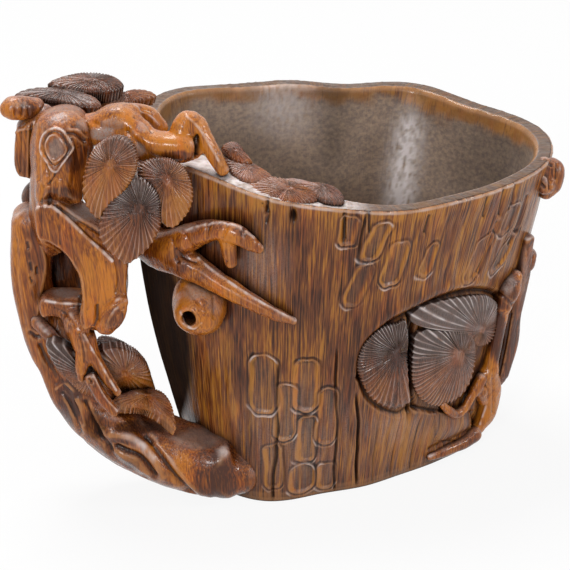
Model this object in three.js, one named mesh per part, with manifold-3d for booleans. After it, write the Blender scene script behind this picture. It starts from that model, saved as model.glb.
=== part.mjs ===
// A carved horn cup in the form of a hollow pine trunk. The handle is the tree's own root and
// branches, cut free of the body, with round fans of pine needles on it and in relief on the wall.
// Sizes are in millimetres. X runs from the handle to the lip, -Y is the front, Z is up.
import * as THREE from "three";
import { mergeVertices } from "three/addons/utils/BufferGeometryUtils.js";
import Module from "manifold-3d";

const wasm = await Module();
wasm.setup();

// Main sizes: the height at which the rim meets the handle, the reach of the rim at the lip from
// the middle of the foot, and how far the handle stands out beyond the rim.
const cupHeight = 93;
const cupRadius = 56;
const handleStand = 25;

// Cup body. Its plan is given every 22.5 degrees, anticlockwise from the lip, as shares of the
// main sizes. Walls and bulges are real sizes.
const rimPlan = [
  1, 0.902, 0.866, 0.7, 0.723, 0.75, 0.902, 0.929,
  0.982, 0.857, 0.782, 0.702, 0.729, 0.759, 0.848, 0.964,
];
const footPlan = [
  0.804, 0.786, 0.679, 0.589, 0.554, 0.589, 0.661, 0.679,
  0.661, 0.705, 0.696, 0.5625, 0.523, 0.518, 0.589, 0.723,
];
const rimLine = [
  0.892, 0.903, 0.925, 0.941, 0.957, 0.973, 0.989, 1, 1, 0.978, 0.935, 0.903, 0.892, 0.892, 0.892, 0.892,
];
const rimWalls = [4.6, 4.6, 4.6, 4.6, 4.6, 4.6, 4.6, 5, 7, 10, 9.5, 7, 5, 4.6, 4.6, 4.6];
const wallBulges = [0, 0, 0, 0, 0, 0, 1, 3, 4.5, 1.5, 0, 0, 0, 0, 0, 0];
const rimRadii = rimPlan.map((share) => share * cupRadius);
const footRadii = footPlan.map((share) => share * cupRadius);
const rimHeights = rimLine.map((share) => share * cupHeight);
const rimLeanX = 3;
const rimLeanY = -2;
const flarePower = 1.1;
const wallGrowth = 9;
const bowlFloor = 13;
const stationsRound = 72;
const stationsUp = 8;

// Every carved element is seated against its neighbours with this gap.
const seatGap = 0.3;

// Handle. Its elements are placed from the outermost line of the trunk, at this distance from the
// middle of the foot, and by a share of the height at which the rim meets the handle.
const handleReach = rimPlan[8] * cupRadius + handleStand;
const rootStrands = 3;
const strandTwist = 2.2;

// Bark scales: each is a scooped hollow, with a web of bark left between it and the next. Middle
// angle, share of the height, half width, half length, and lean in degrees from bottom to top.
const scaleScoop = 0.6;
const scaleWeb = 0.5;
const scales = [
  [-136, 0.4, 3.4, 8.7, 0.5], [-128, 0.31, 2.5, 8.2, 1], [-121, 0.4, 3, 7.9, 0.5], [-112, 0.29, 2.5, 8.4],
  [-120, 0.21, 2.4, 6.8, 1], [-132, 0.12, 2.2, 6.6, -0.5], [-121, 0.07, 2.9, 4.7], [-111, 0.065, 2.3, 4],
  [-108, 0.93, 2.2, 4.6, 1.5], [-98, 0.9, 2.3, 6, 5.5], [-90, 0.82, 2.7, 6.5, 3.5], [-103, 0.75, 2.3, 6.1, 5.5],
  [-76, 0.81, 1.9, 4.4, 3], [-53, 0.76, 2.5, 6.7, 4], [-40, 0.74, 2.6, 4.9, 5.5], [-43, 0.87, 2.4, 4.2, 2],
  [-8, 0.74, 2.6, 6.5, 1], [0, 0.63, 2.6, 6.8], [9, 0.73, 2.5, 6.2, -1], [18, 0.36, 2.7, 7.5],
  [26, 0.25, 2.6, 7], [35, 0.35, 2.6, 7.4], [44, 0.8, 2.6, 6.6, -2], [56, 0.72, 2.4, 6.4, -2],
  [60, 0.2, 2.6, 7, 0.5], [72, 0.3, 2.6, 7.2], [84, 0.17, 2.6, 6.8], [70, 0.85, 2.5, 6, -2],
];

// Cracks in the bark: angle and share of the height at the top, then at the bottom, and depth.
const crackWidth = 0.55;
const cracks = [
  [-108.6, 0.53, -106.2, 0, 0.7], [-97.6, 0.23, -95.8, 0.03, 1], [-148.3, 0.14, -146.7, 0, 1.1],
  [-101.7, 0.985, -104.2, 0.86, 0.6], [22.3, 0.9, 24.2, 0.52, 0.5], [92.3, 0.4, 91.6, 0, 0.8],
  [50.7, 0.47, 51.6, 0, 0.6],
];

// The hollow in the bark that the wall's fans lie in, given like a scale.
const hollowDepth = 0.8;
const fanHollow = [-61.5, 0.43, 25.5, 19.5];

// Needle fans.
const needleRibs = 15;
const ribDepth = 0.55;
const fanDome = 1.1;
const fanThick = 2.8;

// The drilled hole in the front burl.
const burlBore = 2.2;

const degrees = Math.PI / 180;
const vec = (x, y, z) => new THREE.Vector3(x, y, z);

// A smooth closed curve through evenly spaced values.
function around(values, angle) {
  const n = values.length;
  const at = ((angle / (2 * Math.PI)) * n + n * 4) % n;
  const i = Math.floor(at);
  const t = at - i;
  const [a, b, c, d] = [-1, 0, 1, 2].map((k) => values[(i + k + n) % n]);
  return b + 0.5 * t * (c - a + t * (2 * a - 5 * b + 4 * c - d + t * (3 * (b - c) + d - a)));
}

// Outer wall point at a plan angle and a share of the height, moved outwards by out.
function wallPoint(angle, share, out = 0) {
  const foot = around(footRadii, angle);
  const bulge = around(wallBulges, angle) * Math.sin(Math.PI * share);
  const radius = foot + (around(rimRadii, angle) - foot) * share ** flarePower + bulge + out;
  return vec(
    rimLeanX * share + radius * Math.cos(angle),
    rimLeanY * share + radius * Math.sin(angle),
    around(rimHeights, angle) * share);
}

function wallNormal(angle, share) {
  const step = 0.01;
  const along = wallPoint(angle + step, share).sub(wallPoint(angle - step, share));
  const up = wallPoint(angle, share + step).sub(wallPoint(angle, share - step));
  return along.cross(up).normalize();
}

const trunk = (x, y, share) => vec(x - handleReach, y, share * cupHeight);
const wall = (deg, share, out) => wallPoint(deg * degrees, share, out);
const onWall = (deg, share, out) => ({ at: wall(deg, share, out), facing: wallNormal(deg * degrees, share) });
const overRim = (deg, inset, lift) => wall(deg, 1, -inset).add(vec(0, 0, lift));

// Joins rings of equally many points into one closed surface, with a hub point at each end.
function ringSurface(rings, firstHub, lastHub) {
  const count = rings[0].length;
  const points = [...rings.flat(), firstHub, lastHub];
  const index = [];
  for (let i = 0; i < count; i++) {
    const j = (i + 1) % count;
    for (let r = 0; r + 1 < rings.length; r++) {
      const a = r * count + i;
      const b = r * count + j;
      index.push(a, b, b + count, a, b + count, a + count);
    }
    const last = (rings.length - 1) * count;
    index.push(points.length - 2, j, i, points.length - 1, last + i, last + j);
  }
  return new THREE.BufferGeometry()
    .setAttribute("position", new THREE.Float32BufferAttribute(points.flatMap((p) => p.toArray()), 3))
    .setIndex(index);
}

function solidOf(geometry) {
  const bare = geometry.clone();
  bare.deleteAttribute("normal");
  bare.deleteAttribute("uv");
  const merged = mergeVertices(bare, 1e-4);
  return new wasm.Manifold(new wasm.Mesh({
    numProp: 3,
    vertProperties: merged.attributes.position.array,
    triVerts: new Uint32Array(merged.index.array),
  }));
}

function geometryOf(solid) {
  const mesh = solid.getMesh();
  const geometry = new THREE.BufferGeometry()
    .setAttribute("position", new THREE.BufferAttribute(mesh.vertProperties, 3))
    .setIndex(new THREE.BufferAttribute(mesh.triVerts, 1));
  geometry.computeVertexNormals();
  return geometry;
}

const joined = (solids) => solids.reduce((a, b) => a.add(b));

// The plain wall and floor; grow thickens them on every side.
function plainBody(grow) {
  const ringAt = (share, out, lift = 0) => Array.from({ length: stationsRound }, (_, i) =>
    wallPoint((i * 2 * Math.PI) / stationsRound, share, out).add(vec(0, 0, lift)));
  const innerRing = (share, taper, lift) => Array.from({ length: stationsRound }, (_, i) => {
    const angle = (i * 2 * Math.PI) / stationsRound;
    return wallPoint(angle, share, -around(rimWalls, angle) - wallGrowth * taper - grow).add(vec(0, 0, lift));
  });
  const rings = [];
  for (let k = 0; k <= stationsUp; k++) {
    rings.push(ringAt(k / stationsUp, grow, k === stationsUp ? grow : 0));
  }
  rings.push(innerRing(1, 0, grow));
  const floorShare = bowlFloor / cupHeight;
  for (const [share, taper] of [[0.78, 0.05], [0.56, 0.16], [0.38, 0.38], [0.25, 0.8]]) {
    rings.push(innerRing(share, taper, 0));
  }
  rings.push(innerRing(floorShare + 0.02, 1.6, 0));
  const middle = vec(rimLeanX * floorShare, rimLeanY * floorShare, bowlFloor + 1);
  return solidOf(ringSurface(rings, vec(0, 0, 0), middle));
}

// A rounded patch that follows the wall. Each ring of its profile has a growth of the outline and
// a distance out from the wall's surface, from the innermost ring to the outermost.
function wallPatch([deg, share, half, long, lean = 0], profile, sides) {
  const middle = wall(deg, share, 0);
  const turnRadius = Math.hypot(middle.x - rimLeanX * share, middle.y - rimLeanY * share);
  const tall = around(rimHeights, deg * degrees);
  const rounded = (x) => Math.sign(x) * Math.abs(x) ** 0.7;
  const rings = profile.map(([growth, out]) => Array.from({ length: sides }, (_, i) => {
    const turn = ((i + 0.5) * 2 * Math.PI) / sides;
    const side = (half + growth) * rounded(Math.cos(turn));
    const up = (long + growth) * rounded(Math.sin(turn));
    const swing = side / turnRadius / degrees + (lean * up) / (2 * long);
    return wall(deg + swing, Math.max(share + up / tall, 0.004), out);
  }));
  return solidOf(ringSurface(rings, wall(deg, share, profile[0][1]), wall(deg, share, profile.at(-1)[1])));
}

// A crack as a wedge to cut from the wall.
function crackWedge([topDeg, topShare, footDeg, footShare, depth]) {
  const rings = [0, 0.5, 1].map((t) => {
    const deg = footDeg + (topDeg - footDeg) * t;
    const share = footShare + (topShare - footShare) * t;
    const side = crackWidth / cupRadius / degrees;
    const drop = vec(0, 0, share === 0 ? -1 : 0);
    const mouth = [wall(deg + side, share, 1), wall(deg - side, share, 1)];
    return [wall(deg, share, -depth), ...mouth].map((p) => p.add(drop));
  });
  const hub = (ring) => ring.reduce((a, b) => a.clone().add(b)).multiplyScalar(1 / 3);
  return solidOf(ringSurface(rings, hub(rings[0]), hub(rings.at(-1))));
}

// The cup's body: bark scales, cracks, and the hollow round the fans. As a seat for its neighbours
// it has only the hollow.
function cupBody(grow) {
  const floor = grow - hollowDepth;
  const hollow = wallPatch(fanHollow, [
    [-15, floor], [-10, floor], [-5, floor], [-0.7 - grow, floor], [0.3 - grow, 0.5], [1, 3], [-7, 3],
    [-15, 3],
  ], 18);
  const body = plainBody(grow).subtract(hollow);
  if (grow > 0) return body;
  const scoop = [[-0.5 - scaleWeb, -scaleScoop], [0.5 - scaleWeb, 1.4]];
  const scoops = scales.map((row) => wallPatch(row, scoop, 8));
  return body.subtract(joined(scoops)).subtract(joined(cracks.map(crackWedge)));
}

// A tapered limb through stations of [point, radius], rounded at both ends.
function limb(stations, { grow = 0, sides = 8, steps = 2, depth = 1, wander = 0.06 } = {}) {
  const curve = new THREE.CatmullRomCurve3(stations.map(([p]) => p), false, "centripetal");
  const total = (stations.length - 1) * steps;
  const frames = curve.computeFrenetFrames(total, false);
  const rings = [];
  const section = (centre, k, radius) => Array.from({ length: sides }, (_, i) => {
    const turn = (i * 2 * Math.PI) / sides;
    const offset = frames.normals[k].clone().multiplyScalar(Math.cos(turn))
      .addScaledVector(frames.binormals[k], Math.sin(turn)).multiplyScalar(radius);
    offset.y *= depth;
    return centre.clone().add(offset);
  });
  for (let k = 0; k <= total; k++) {
    const at = curve.getUtoTmapping(k / total, null) * (stations.length - 1);
    const i = Math.min(Math.floor(at), stations.length - 2);
    const ease = THREE.MathUtils.smoothstep(at - i, 0, 1);
    const plain = stations[i][1] + (stations[i + 1][1] - stations[i][1]) * ease;
    const radius = plain * (1 + wander * Math.sin(2.7 * at + stations.length)) + grow;
    const centre = curve.getPointAt(k / total);
    const tangent = frames.tangents[k];
    const tip = (end) => section(centre.clone().addScaledVector(tangent, end * radius), k, radius * 0.72);
    if (k === 0) rings.push(tip(-0.5));
    rings.push(section(centre, k, radius));
    if (k === total) rings.push(tip(0.5));
  }
  const hub = (k, sign, radius) => curve.getPointAt(k / total)
    .addScaledVector(frames.tangents[k], sign * 0.8 * (radius + grow));
  return solidOf(ringSurface(rings, hub(0, -1, stations[0][1]), hub(total, 1, stations.at(-1)[1])));
}

// The way the carved flats of the handle face, and a flat cut to an outline of [across, up] points
// in the plane of its front, with bevelled edges.
const handleFront = vec(-0.34, -0.94, 0);
function slab(outline, { at, facing = handleFront, thick, bevel = 1, grow = 0 }) {
  const n = facing.clone().normalize();
  const u = vec(0, 0, 1).cross(n).normalize();
  const shape = new THREE.Shape(outline.map(([x, y]) => new THREE.Vector2(x, y)));
  const geometry = new THREE.ExtrudeGeometry(shape, {
    depth: thick - 2 * bevel + 2 * grow, bevelThickness: bevel, bevelSize: bevel, bevelOffset: grow - bevel,
    bevelSegments: 1, steps: 1,
  });
  geometry.translate(0, 0, bevel - thick - grow);
  geometry.applyMatrix4(new THREE.Matrix4().makeBasis(u, n.clone().cross(u), n).setPosition(at));
  return solidOf(geometry);
}

// A fan of pine needles: a domed oval disc whose ribs run out from a hub set off its middle.
// As a seat for its neighbours it is a plain disc, thicker by grow.
function needleFan(
  { at, facing, along = vec(0, 0, 1), radius, thick = fanThick, hub = [0, 0], oval = 1 }, grow,
) {
  const n = facing.clone().normalize();
  const u = along.clone().addScaledVector(n, -along.dot(n)).normalize();
  const v = n.clone().cross(u);
  const plain = grow !== undefined;
  const count = plain ? needleRibs : needleRibs * 2;
  const reach = plain ? (radius + grow) / Math.cos(Math.PI / count) : radius;
  const top = thick / 2 + (grow ?? 0);
  const place = (share, turn, out, height) => at.clone()
    .addScaledVector(u, out * Math.cos(turn) * share + hub[0] * radius * (1 - share))
    .addScaledVector(v, out * Math.sin(turn) * oval * share + hub[1] * radius * (1 - share))
    .addScaledVector(n, height);
  const ring = (share, height, valley) => Array.from({ length: count }, (_, i) => {
    const turn = (i * 2 * Math.PI) / count;
    const notch = !plain && i % 2 ? ribDepth * valley : 0;
    return place(share, turn, reach - notch * 0.8, height - notch);
  });
  const rings = [ring(1, -top, 0), ring(1, top * 0.3, 1), ring(0.86, top, 1)];
  return solidOf(ringSurface(rings, place(0, 0, 0, -top), place(0, 0, 0, top + fanDome)));
}

// Twisted strands that wind round one thick line.
function strands(stations, options) {
  const solids = [];
  for (let s = 0; s < rootStrands; s++) {
    const wound = stations.map(([p, r], k) => {
      const turn = (s * 2 * Math.PI) / rootStrands + (k * strandTwist) / stations.length;
      const swing = vec(0.3 * Math.cos(turn), 0.5 * Math.sin(turn), 0.3 * Math.cos(turn));
      return [p.clone().addScaledVector(swing, r), r * 0.72];
    });
    solids.push(limb(wound, options));
  }
  return joined(solids);
}

const horn = (color, roughness) => new THREE.MeshStandardMaterial({ color, roughness, metalness: 0 });
const materials = {
  bark: horn(0x6b3d1c, 0.45),
  branch: horn(0x8a4513, 0.35),
  needles: horn(0x5f3118, 0.5),
};

// Branches: each is made of limbs of [point, radius] stations and of flats.
const branches = {
  root_trunk: (grow) => strands([
    [wall(-148, 0.085, -3.6), 7.2], [trunk(35, -15, 0.104), 8.4], [trunk(25.5, -10.5, 0.143), 8.8],
    [trunk(17.6, -7, 0.22), 8.4], [trunk(10.8, -4, 0.32), 7.4], [trunk(5.6, -1.5, 0.43), 6],
    [trunk(1.8, 0, 0.56), 5],
    [trunk(0.4, 1, 0.69), 5.2], [trunk(1, 1, 0.78), 4.6],
  ], { grow, sides: 8, steps: 2 }).add(slab([
    [-20.9, 13], [-13.5, 5.9], [-8.4, 3.6], [1.8, 1.8], [15.9, -1.7], [17, -13], [6.7, -13.7],
    [-5.9, -7.9], [-15.2, 0],
  ], { at: trunk(23.3, -17.9, 0.188), facing: vec(-0.43, -0.9, 0), thick: 11, bevel: 2.2, grow })).add(slab([
    [-3.9, 11.4], [-2.5, 15], [1.7, 16], [4.6, 13], [5.8, 2.2], [2.9, -8.3], [2.4, -16.1], [5.5, -24.5],
    [4.7, -30],
    [-1.5, -21.7], [-4, -5.5],
  ], { at: trunk(-1.1, -3.8, 0.686), thick: 9, bevel: 1.6, grow })),
  burl_column: (grow) => limb([
    [trunk(4.9, -1.8, 0.761), 4.4], [trunk(5.1, -5.3, 0.864), 5], [trunk(6.9, -6.4, 0.957), 6.4],
    [trunk(8.3, -6.6, 1.04), 7.4],
  ], { grow }).add(slab([
    [-5.6, 7.6], [-5.2, 10.8], [-3.1, 12.6], [0.8, 13.2], [4.3, 12.2], [6.4, 9.8], [7, 5.6], [5.4, -4.9],
    [4.6, -9.6], [-2.6, -10.1], [-6.2, -9.3], [-6.3, -3.7],
  ], { at: trunk(5.6, -14.1, 1.022), facing: vec(-0.34, -0.92, 0.2), thick: 14, bevel: 2.4, grow })).add(slab([
    [-4, 2.4], [-3.1, 7.9], [2.8, 9.2], [7.6, 7.6], [7.3, 0.3], [3.8, -1.9], [1.2, -5.6], [-0.4, -10.1],
    [-3.3, -9.6], [-4.1, -4.5],
  ], { at: trunk(3.5, -10.8, 0.898), thick: 11, bevel: 1.4, grow })),
  bark_slab: (grow) => slab([
    [-2.6, 4.8], [-1, 6], [3.9, 6.9], [3.6, -7.3], [-0.1, -7.9], [-2.4, -7.1], [-3.4, -3.5],
  ], { at: trunk(0.5, -0.2, 1.015), facing: vec(-0.56, -0.83, 0), thick: 8, bevel: 0.8, grow }).add(limb([
    [trunk(1.6, 3.9, 1.05), 2.7], [trunk(3.8, 2.8, 1.08), 3], [trunk(6, 1.4, 1.094), 3.2],
  ], { grow })),
  inner_bough: (grow) => limb([
    [trunk(6, 4, 0.86), 5], [trunk(10.6, 5, 0.74), 5.2], [trunk(10.2, 4, 0.62), 5.4],
    [trunk(7.6, 2.5, 0.5), 4.8],
  ], { grow, depth: 0.85 }),
  strap_branch: (grow) => slab([
    [-11.5, 15.4], [-7.4, 16.4], [-2, 12.5], [5.1, 7.5], [8.1, 2.9], [9, -1.3], [8.5, -10.3], [6.7, -13.8],
    [4.4, -17.1], [-2.1, -18.5], [-3.2, -15.4], [-2.3, -9.4], [-2.4, -4.8], [-6.2, 2.9], [-9.5, 5.6],
    [-12.6, 7],
  ], { at: trunk(10.8, -19.1, 0.752), thick: 6.4, bevel: 0.8, grow }).add(slab([
    [-12.5, 15.1], [-9.1, 15.6], [-5.4, 12.5], [-0.7, 7.4], [5.4, 1.3], [6.5, -2.7], [5.9, -7.3],
    [3.1, -11],
    [1.7, -16], [-2.1, -17.6], [-3, -14.9], [-2, -9.4], [-2.1, -4.8], [-6, 2.9], [-12.4, 6.9],
  ], { at: trunk(10.4, -20.6, 0.759), thick: 7, bevel: 0.6, grow })).add(limb([
    [trunk(16.6, -22.3, 0.65), 2.6], [trunk(15.2, -22.1, 0.618), 3.1], [trunk(13.8, -21, 0.586), 2.8],
  ], { grow })),
  bridge_branch: (grow) => slab([
    [-5.6, 2.1], [-1.2, 2.4], [4.3, 1.8], [4.9, -3.2], [4.8, -7.4], [2.8, -7.9], [1.3, -5],
    [-1.3, -3.2], [-5.8, -2.9],
  ], { at: trunk(5.7, -12.8, 0.605), facing: vec(-0.34, -0.94, 0.1), thick: 10, bevel: 0.8, grow }),
  forked_twig: (grow) => limb([
    [trunk(8.3, -13.9, 0.564), 3.4], [trunk(9, -16.4, 0.528), 3], [trunk(9.3, -16.9, 0.494), 2.3],
    [trunk(8.2, -17.3, 0.45), 1.6], [trunk(7.8, -17.7, 0.414), 0.9],
  ], { grow }).add(limb([
    [trunk(9.3, -16.5, 0.528), 2.6], [trunk(10.4, -17.4, 0.492), 2.1], [trunk(12.2, -18.2, 0.453), 1.6],
    [trunk(14.3, -19.2, 0.407), 1.5], [trunk(16.5, -19.5, 0.367), 1],
  ], { grow })),
  finger_twig: (grow) => limb([
    [trunk(10.1, -17.8, 0.414), 1.8], [trunk(12.2, -19.1, 0.365), 1.8], [trunk(14.9, -19.9, 0.318), 1.5],
  ], { grow }),
  spur_twig: (grow) => limb([
    [trunk(0.6, -4.8, 0.534), 1.8], [trunk(1.8, -7.7, 0.519), 1.7], [trunk(3.6, -9.4, 0.497), 1.4],
  ], { grow }),
  crown_branch: (grow) => limb([
    [trunk(13.8, -6.9, 1.076), 4], [trunk(17.3, -8.9, 1.087), 4], [trunk(21.4, -10.6, 1.107), 4.2],
    [trunk(24.1, -13.1, 1.088), 4], [trunk(27, -16, 1.059), 3.7], [trunk(30.9, -17.9, 1.05), 3.6],
    [trunk(34.6, -19.2, 1.05), 3.8], [trunk(36.9, -19, 1.048), 3.2],
  ], { grow, steps: 1 }).add(limb([
    [trunk(35.3, -18.4, 1.048), 3.2], [trunk(35.2, -18.3, 1.087), 2.7], [trunk(36.6, -18.1, 1.115), 2.3],
    [trunk(38.6, -18.8, 1.104), 2.5], [trunk(40.1, -20.3, 1.071), 2.1], [trunk(41.9, -21.6, 1.032), 1.8],
    [trunk(44.1, -22.7, 0.985), 1.5],
  ], { grow, steps: 1 })).add(limb([
    [trunk(24.1, -15.6, 1.07), 3], [trunk(25.1, -16.3, 1.038), 2.6], [trunk(27.7, -15.9, 1.016), 2.4],
  ], { grow, steps: 1 })),
  crown_stub: (grow) => limb([
    [trunk(21.6, -8.3, 1.107), 3.4], [trunk(26.6, -6.8, 1.105), 2.7], [trunk(30.2, -5.9, 1.088), 2.6],
    [trunk(32.5, -5.4, 1.054), 2.6],
  ], { grow }),
  bough_tip: (grow) => limb([
    [trunk(3.8, 2.2, 1.119), 2.8], [trunk(1, 2.7, 1.121), 3], [trunk(-1.6, 3.1, 1.122), 2.7],
  ], { grow }),
  forked_bough: (grow) => limb([
    [wall(-173, 0.739, 1.6), 4.4], [wall(-165, 0.762, 2.8), 4.1], [wall(-159, 0.805, 3.2), 3.5],
    [wall(-153, 0.85, 3.6), 2.9], [wall(-147, 0.878, 3.6), 2.4], [wall(-143, 0.882, 3.2), 2.4],
    [wall(-139, 0.864, 2.6), 2], [wall(-137, 0.85, 1.9), 1.4],
  ], { grow, steps: 1 }).add(limb([
    [wall(-169, 0.736, 1.3), 4.8], [wall(-161, 0.735, 2.7), 3.9], [wall(-154, 0.725, 3.1), 3],
    [wall(-147, 0.707, 2.9), 2.5], [wall(-139, 0.682, 2.3), 1.9], [wall(-131, 0.653, 1.6), 1.5],
    [wall(-126, 0.631, 1), 0.9],
  ], { grow, steps: 1 })).add(limb([
    [wall(-146, 0.87, 2.9), 2.4], [wall(-145, 0.824, 2.4), 1.9], [wall(-145, 0.785, 1.8), 1.5],
  ], { grow, steps: 1 })),
  hollow_burl: (grow, hollow = false) => {
    const heart = wall(-158.5, 0.6, 0.4);
    const mouth = heart.clone().add(vec(-4.5, -7.3, 0.4));
    const tool = heart.clone().lerp(mouth, 0.52);
    const outer = limb([
      [wall(-157.5, 0.618, -1), 5.2], [heart, 6.2], [heart.clone().lerp(mouth, 0.75), 4.9],
    ], { grow, sides: 12, wander: 0 }).add(limb([
      [wall(-159, 0.643, 0), 5.2], [wall(-155, 0.611, 1.4), 5.2], [wall(-154, 0.583, 3), 3.8],
    ], { grow, steps: 1 }));
    return hollow ? outer.subtract(limb([[tool, burlBore], [mouth.clone().lerp(tool, -1), burlBore]],
      { sides: 10, wander: 0, steps: 1 })) : outer;
  },
  foot_root: (grow) => limb([
    [wall(-52, 0.034, 0.5), 1.2], [wall(-43, 0.04, 0.8), 1.6], [wall(-35, 0.042, 1), 1.9],
    [wall(-29, 0.05, 1), 2.3],
  ], { grow }),
  wall_twig: (grow) => limb([
    [wall(-52, 0.231, 0.6), 1.1], [wall(-48.6, 0.204, 0.8), 1.3], [wall(-42.6, 0.171, 0.9), 1.3],
    [wall(-39.3, 0.183, 0.9), 1.2], [wall(-37.3, 0.213, 0.9), 1.2], [wall(-35, 0.249, 0.9), 1.6],
    [wall(-33.8, 0.274, 0.9), 1.6],
  ], { grow, steps: 1 }),
  wall_branch: (grow) => limb([
    [wall(-29.6, 0.618, 0.5), 2], [wall(-32.5, 0.588, 0.8), 3], [wall(-33.1, 0.541, 0.8), 2.4],
    [wall(-30.8, 0.417, 0.8), 1.9], [wall(-30.4, 0.296, 1), 2.3], [wall(-26.6, 0.195, 1.2), 2.9],
    [wall(-25, 0.114, 1.2), 2.8], [wall(-26.6, 0.066, 1), 1.8],
  ], { grow, steps: 1 }),
  side_branch: (grow) => limb([
    [wall(-27, 0.735, 0.5), 1.6], [wall(-22.5, 0.58, 1), 2], [wall(-21.5, 0.466, 1), 2.4],
    [wall(-20, 0.363, 1), 2.6],
    [wall(-18, 0.26, 0.8), 2.2], [wall(-17, 0.22, 0.6), 1.6],
  ], { grow, steps: 1 }),
  rim_knot: (grow) => limb([
    [wall(-26, 0.975, -0.6), 2.6], [wall(-23, 0.953, 1.1), 3.2], [wall(-23, 0.914, 1.4), 3.2],
    [wall(-24, 0.89, 0.8), 2.2],
  ], { grow, steps: 1 }),
  wall_knot: (grow) => limb([
    [wall(-22, 0.663, 1.2), 2], [wall(-23, 0.638, 1), 2.6], [wall(-24, 0.614, 0.2), 1.6],
  ], { grow, steps: 1 }),
  fan_bough: (grow) => limb([
    [trunk(8, 1, 1.07), 4.4], [trunk(18, 6, 1.042), 4.2], [trunk(25, 9, 1.025), 4],
    [wall(168, 0.985, -3), 4],
  ], { grow }),
  back_bough: (grow) => limb([
    [wall(172, 0.76, 1.6), 4.2], [wall(158, 0.79, 2), 3.8], [wall(140, 0.72, 2), 3.4],
    [wall(124, 0.66, 2), 3],
    [wall(106, 0.69, 1.8), 2.4], [wall(94, 0.66, 1), 1.6],
  ], { grow }),
  back_twig: (grow) => limb([
    [wall(141, 0.7, 2), 2.4], [wall(134, 0.58, 2), 2], [wall(131, 0.48, 1.4), 1.5],
  ], { grow }),
};

// Fans: the middle, the way the needles open, the direction of the long axis, its reach, and the
// share of it that the short axis has.
const fans = {
  front_fan_upper: {
    at: trunk(15, -23, 1.018), facing: vec(-0.62, -0.75, 0.2), along: vec(0.4, -0.08, 0.91),
    radius: 10.9, oval: 0.6, thick: 3.2, hub: [0.3, 0.1],
  },
  front_fan_right: {
    at: trunk(28.8, -25.2, 0.966), facing: vec(-0.27, -0.91, 0.32), along: vec(0.3, -0.39, -0.87),
    radius: 9, oval: 0.72, hub: [-0.4, 0],
  },
  front_fan_lower: {
    at: trunk(19.4, -26.4, 0.9), facing: vec(-0.15, -0.98, 0.15), along: vec(0.3, 0.1, 0.95),
    radius: 10.8, oval: 0.72, thick: 3, hub: [0.35, 0],
  },
  top_fan_high: {
    at: trunk(20.4, 11.1, 1.117), facing: vec(0.05, -0.12, 0.99), along: vec(0.98, -0.2, -0.07),
    radius: 9.4, oval: 0.72, thick: 3.8,
  },
  top_fan_left: {
    at: trunk(11.9, 7, 1.112), facing: vec(-0.02, -0.14, 0.99), along: vec(0.84, -0.55, -0.06),
    radius: 11.4, oval: 0.5, thick: 2,
  },
  top_fan_under: {
    at: trunk(11, 7.3, 1.088), facing: vec(-0.02, -0.14, 0.99), along: vec(0.87, -0.5, -0.05),
    radius: 10, oval: 0.5, thick: 2.5,
  },
  top_fan_rim: {
    at: trunk(28.6, 8.2, 1.074), facing: vec(0.05, -0.18, 0.98), along: vec(0.94, 0.35, 0.02),
    radius: 9.4, oval: 0.42, thick: 2.5,
  },
  low_fan_right: {
    at: trunk(21.3, -11.9, 0.38), facing: vec(-0.11, -0.91, -0.41), along: vec(0.53, 0.3, -0.8),
    radius: 11.4, oval: 0.46, thick: 3.6, hub: [-0.3, 0],
  },
  low_fan_under: {
    at: trunk(25.1, -16.9, 0.287), facing: vec(0.12, -0.36, 0.93), along: vec(0.8, -0.51, -0.3),
    radius: 8.4, oval: 0.68, thick: 3.2, hub: [0, 0.2],
  },
  low_fan_left: {
    at: trunk(10.2, -11.9, 0.391), facing: vec(-0.29, -0.89, -0.35), along: vec(0.56, 0.14, -0.82),
    radius: 14.4, oval: 0.36, thick: 3.2,
  },
  low_fan_back: {
    at: trunk(20.6, -5.4, 0.402), facing: vec(0.1, -0.35, 0.93), along: vec(0.77, -0.56, -0.29),
    radius: 6.8, oval: 0.55,
  },
  rim_fan_small: {
    at: overRim(-155.4, 10.5, 2.2), facing: vec(-0.15, -0.45, 0.88), along: vec(0.41, -0.84, -0.36),
    radius: 4.6, oval: 0.62, thick: 2,
  },
  rim_fan_left: {
    at: overRim(-149, 8, 1.2), facing: vec(0.05, -0.3, 0.95), along: vec(0.54, -0.79, -0.28),
    radius: 6.9, oval: 0.62, thick: 2,
  },
  rim_fan_middle: {
    at: overRim(-136.1, 5.7, 0.5), facing: vec(-0.03, -0.3, 0.95), along: vec(0.8, -0.58, -0.16),
    radius: 10.7, oval: 0.48, thick: 2, hub: [0.1, 0],
  },
  rim_fan_right: {
    at: overRim(-122.6, 7.1, 1.2), facing: vec(0, -0.22, 0.98), along: vec(0.73, -0.67, -0.15),
    radius: 9, oval: 0.44, thick: 2, hub: [0.2, 0],
  },
  wall_fan_front: {
    ...onWall(-86.8, 0.444, -0.6), along: vec(0.16, 0.2, -0.97), radius: 12.6, oval: 0.56,
    hub: [-0.3, 0.1], thick: 2.6,
  },
  wall_fan_side: {
    ...onWall(-56.9, 0.392, -0.3), along: vec(0.48, 0.34, -0.81), radius: 13, oval: 0.76,
    hub: [-0.25, 0], thick: 2.6,
  },
  wall_fan_upper: {
    ...onWall(-51, 0.54, -0.7), along: vec(0.78, 0.45, -0.44), radius: 16.5, oval: 0.46, hub: [-0.2, 0],
    thick: 2.6,
  },
  back_fan_left: { ...onWall(141, 0.54, 1), radius: 10.4, hub: [-0.2, 0] },
  back_fan_middle: { ...onWall(117, 0.49, 0.9), radius: 10.8, hub: [-0.25, 0] },
  back_fan_upper: { ...onWall(108, 0.82, 0.9), radius: 9.6, hub: [-0.25, 0] },
  back_fan_right: { ...onWall(92, 0.53, 0.7), radius: 9.4, hub: [-0.2, 0] },
};

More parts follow.
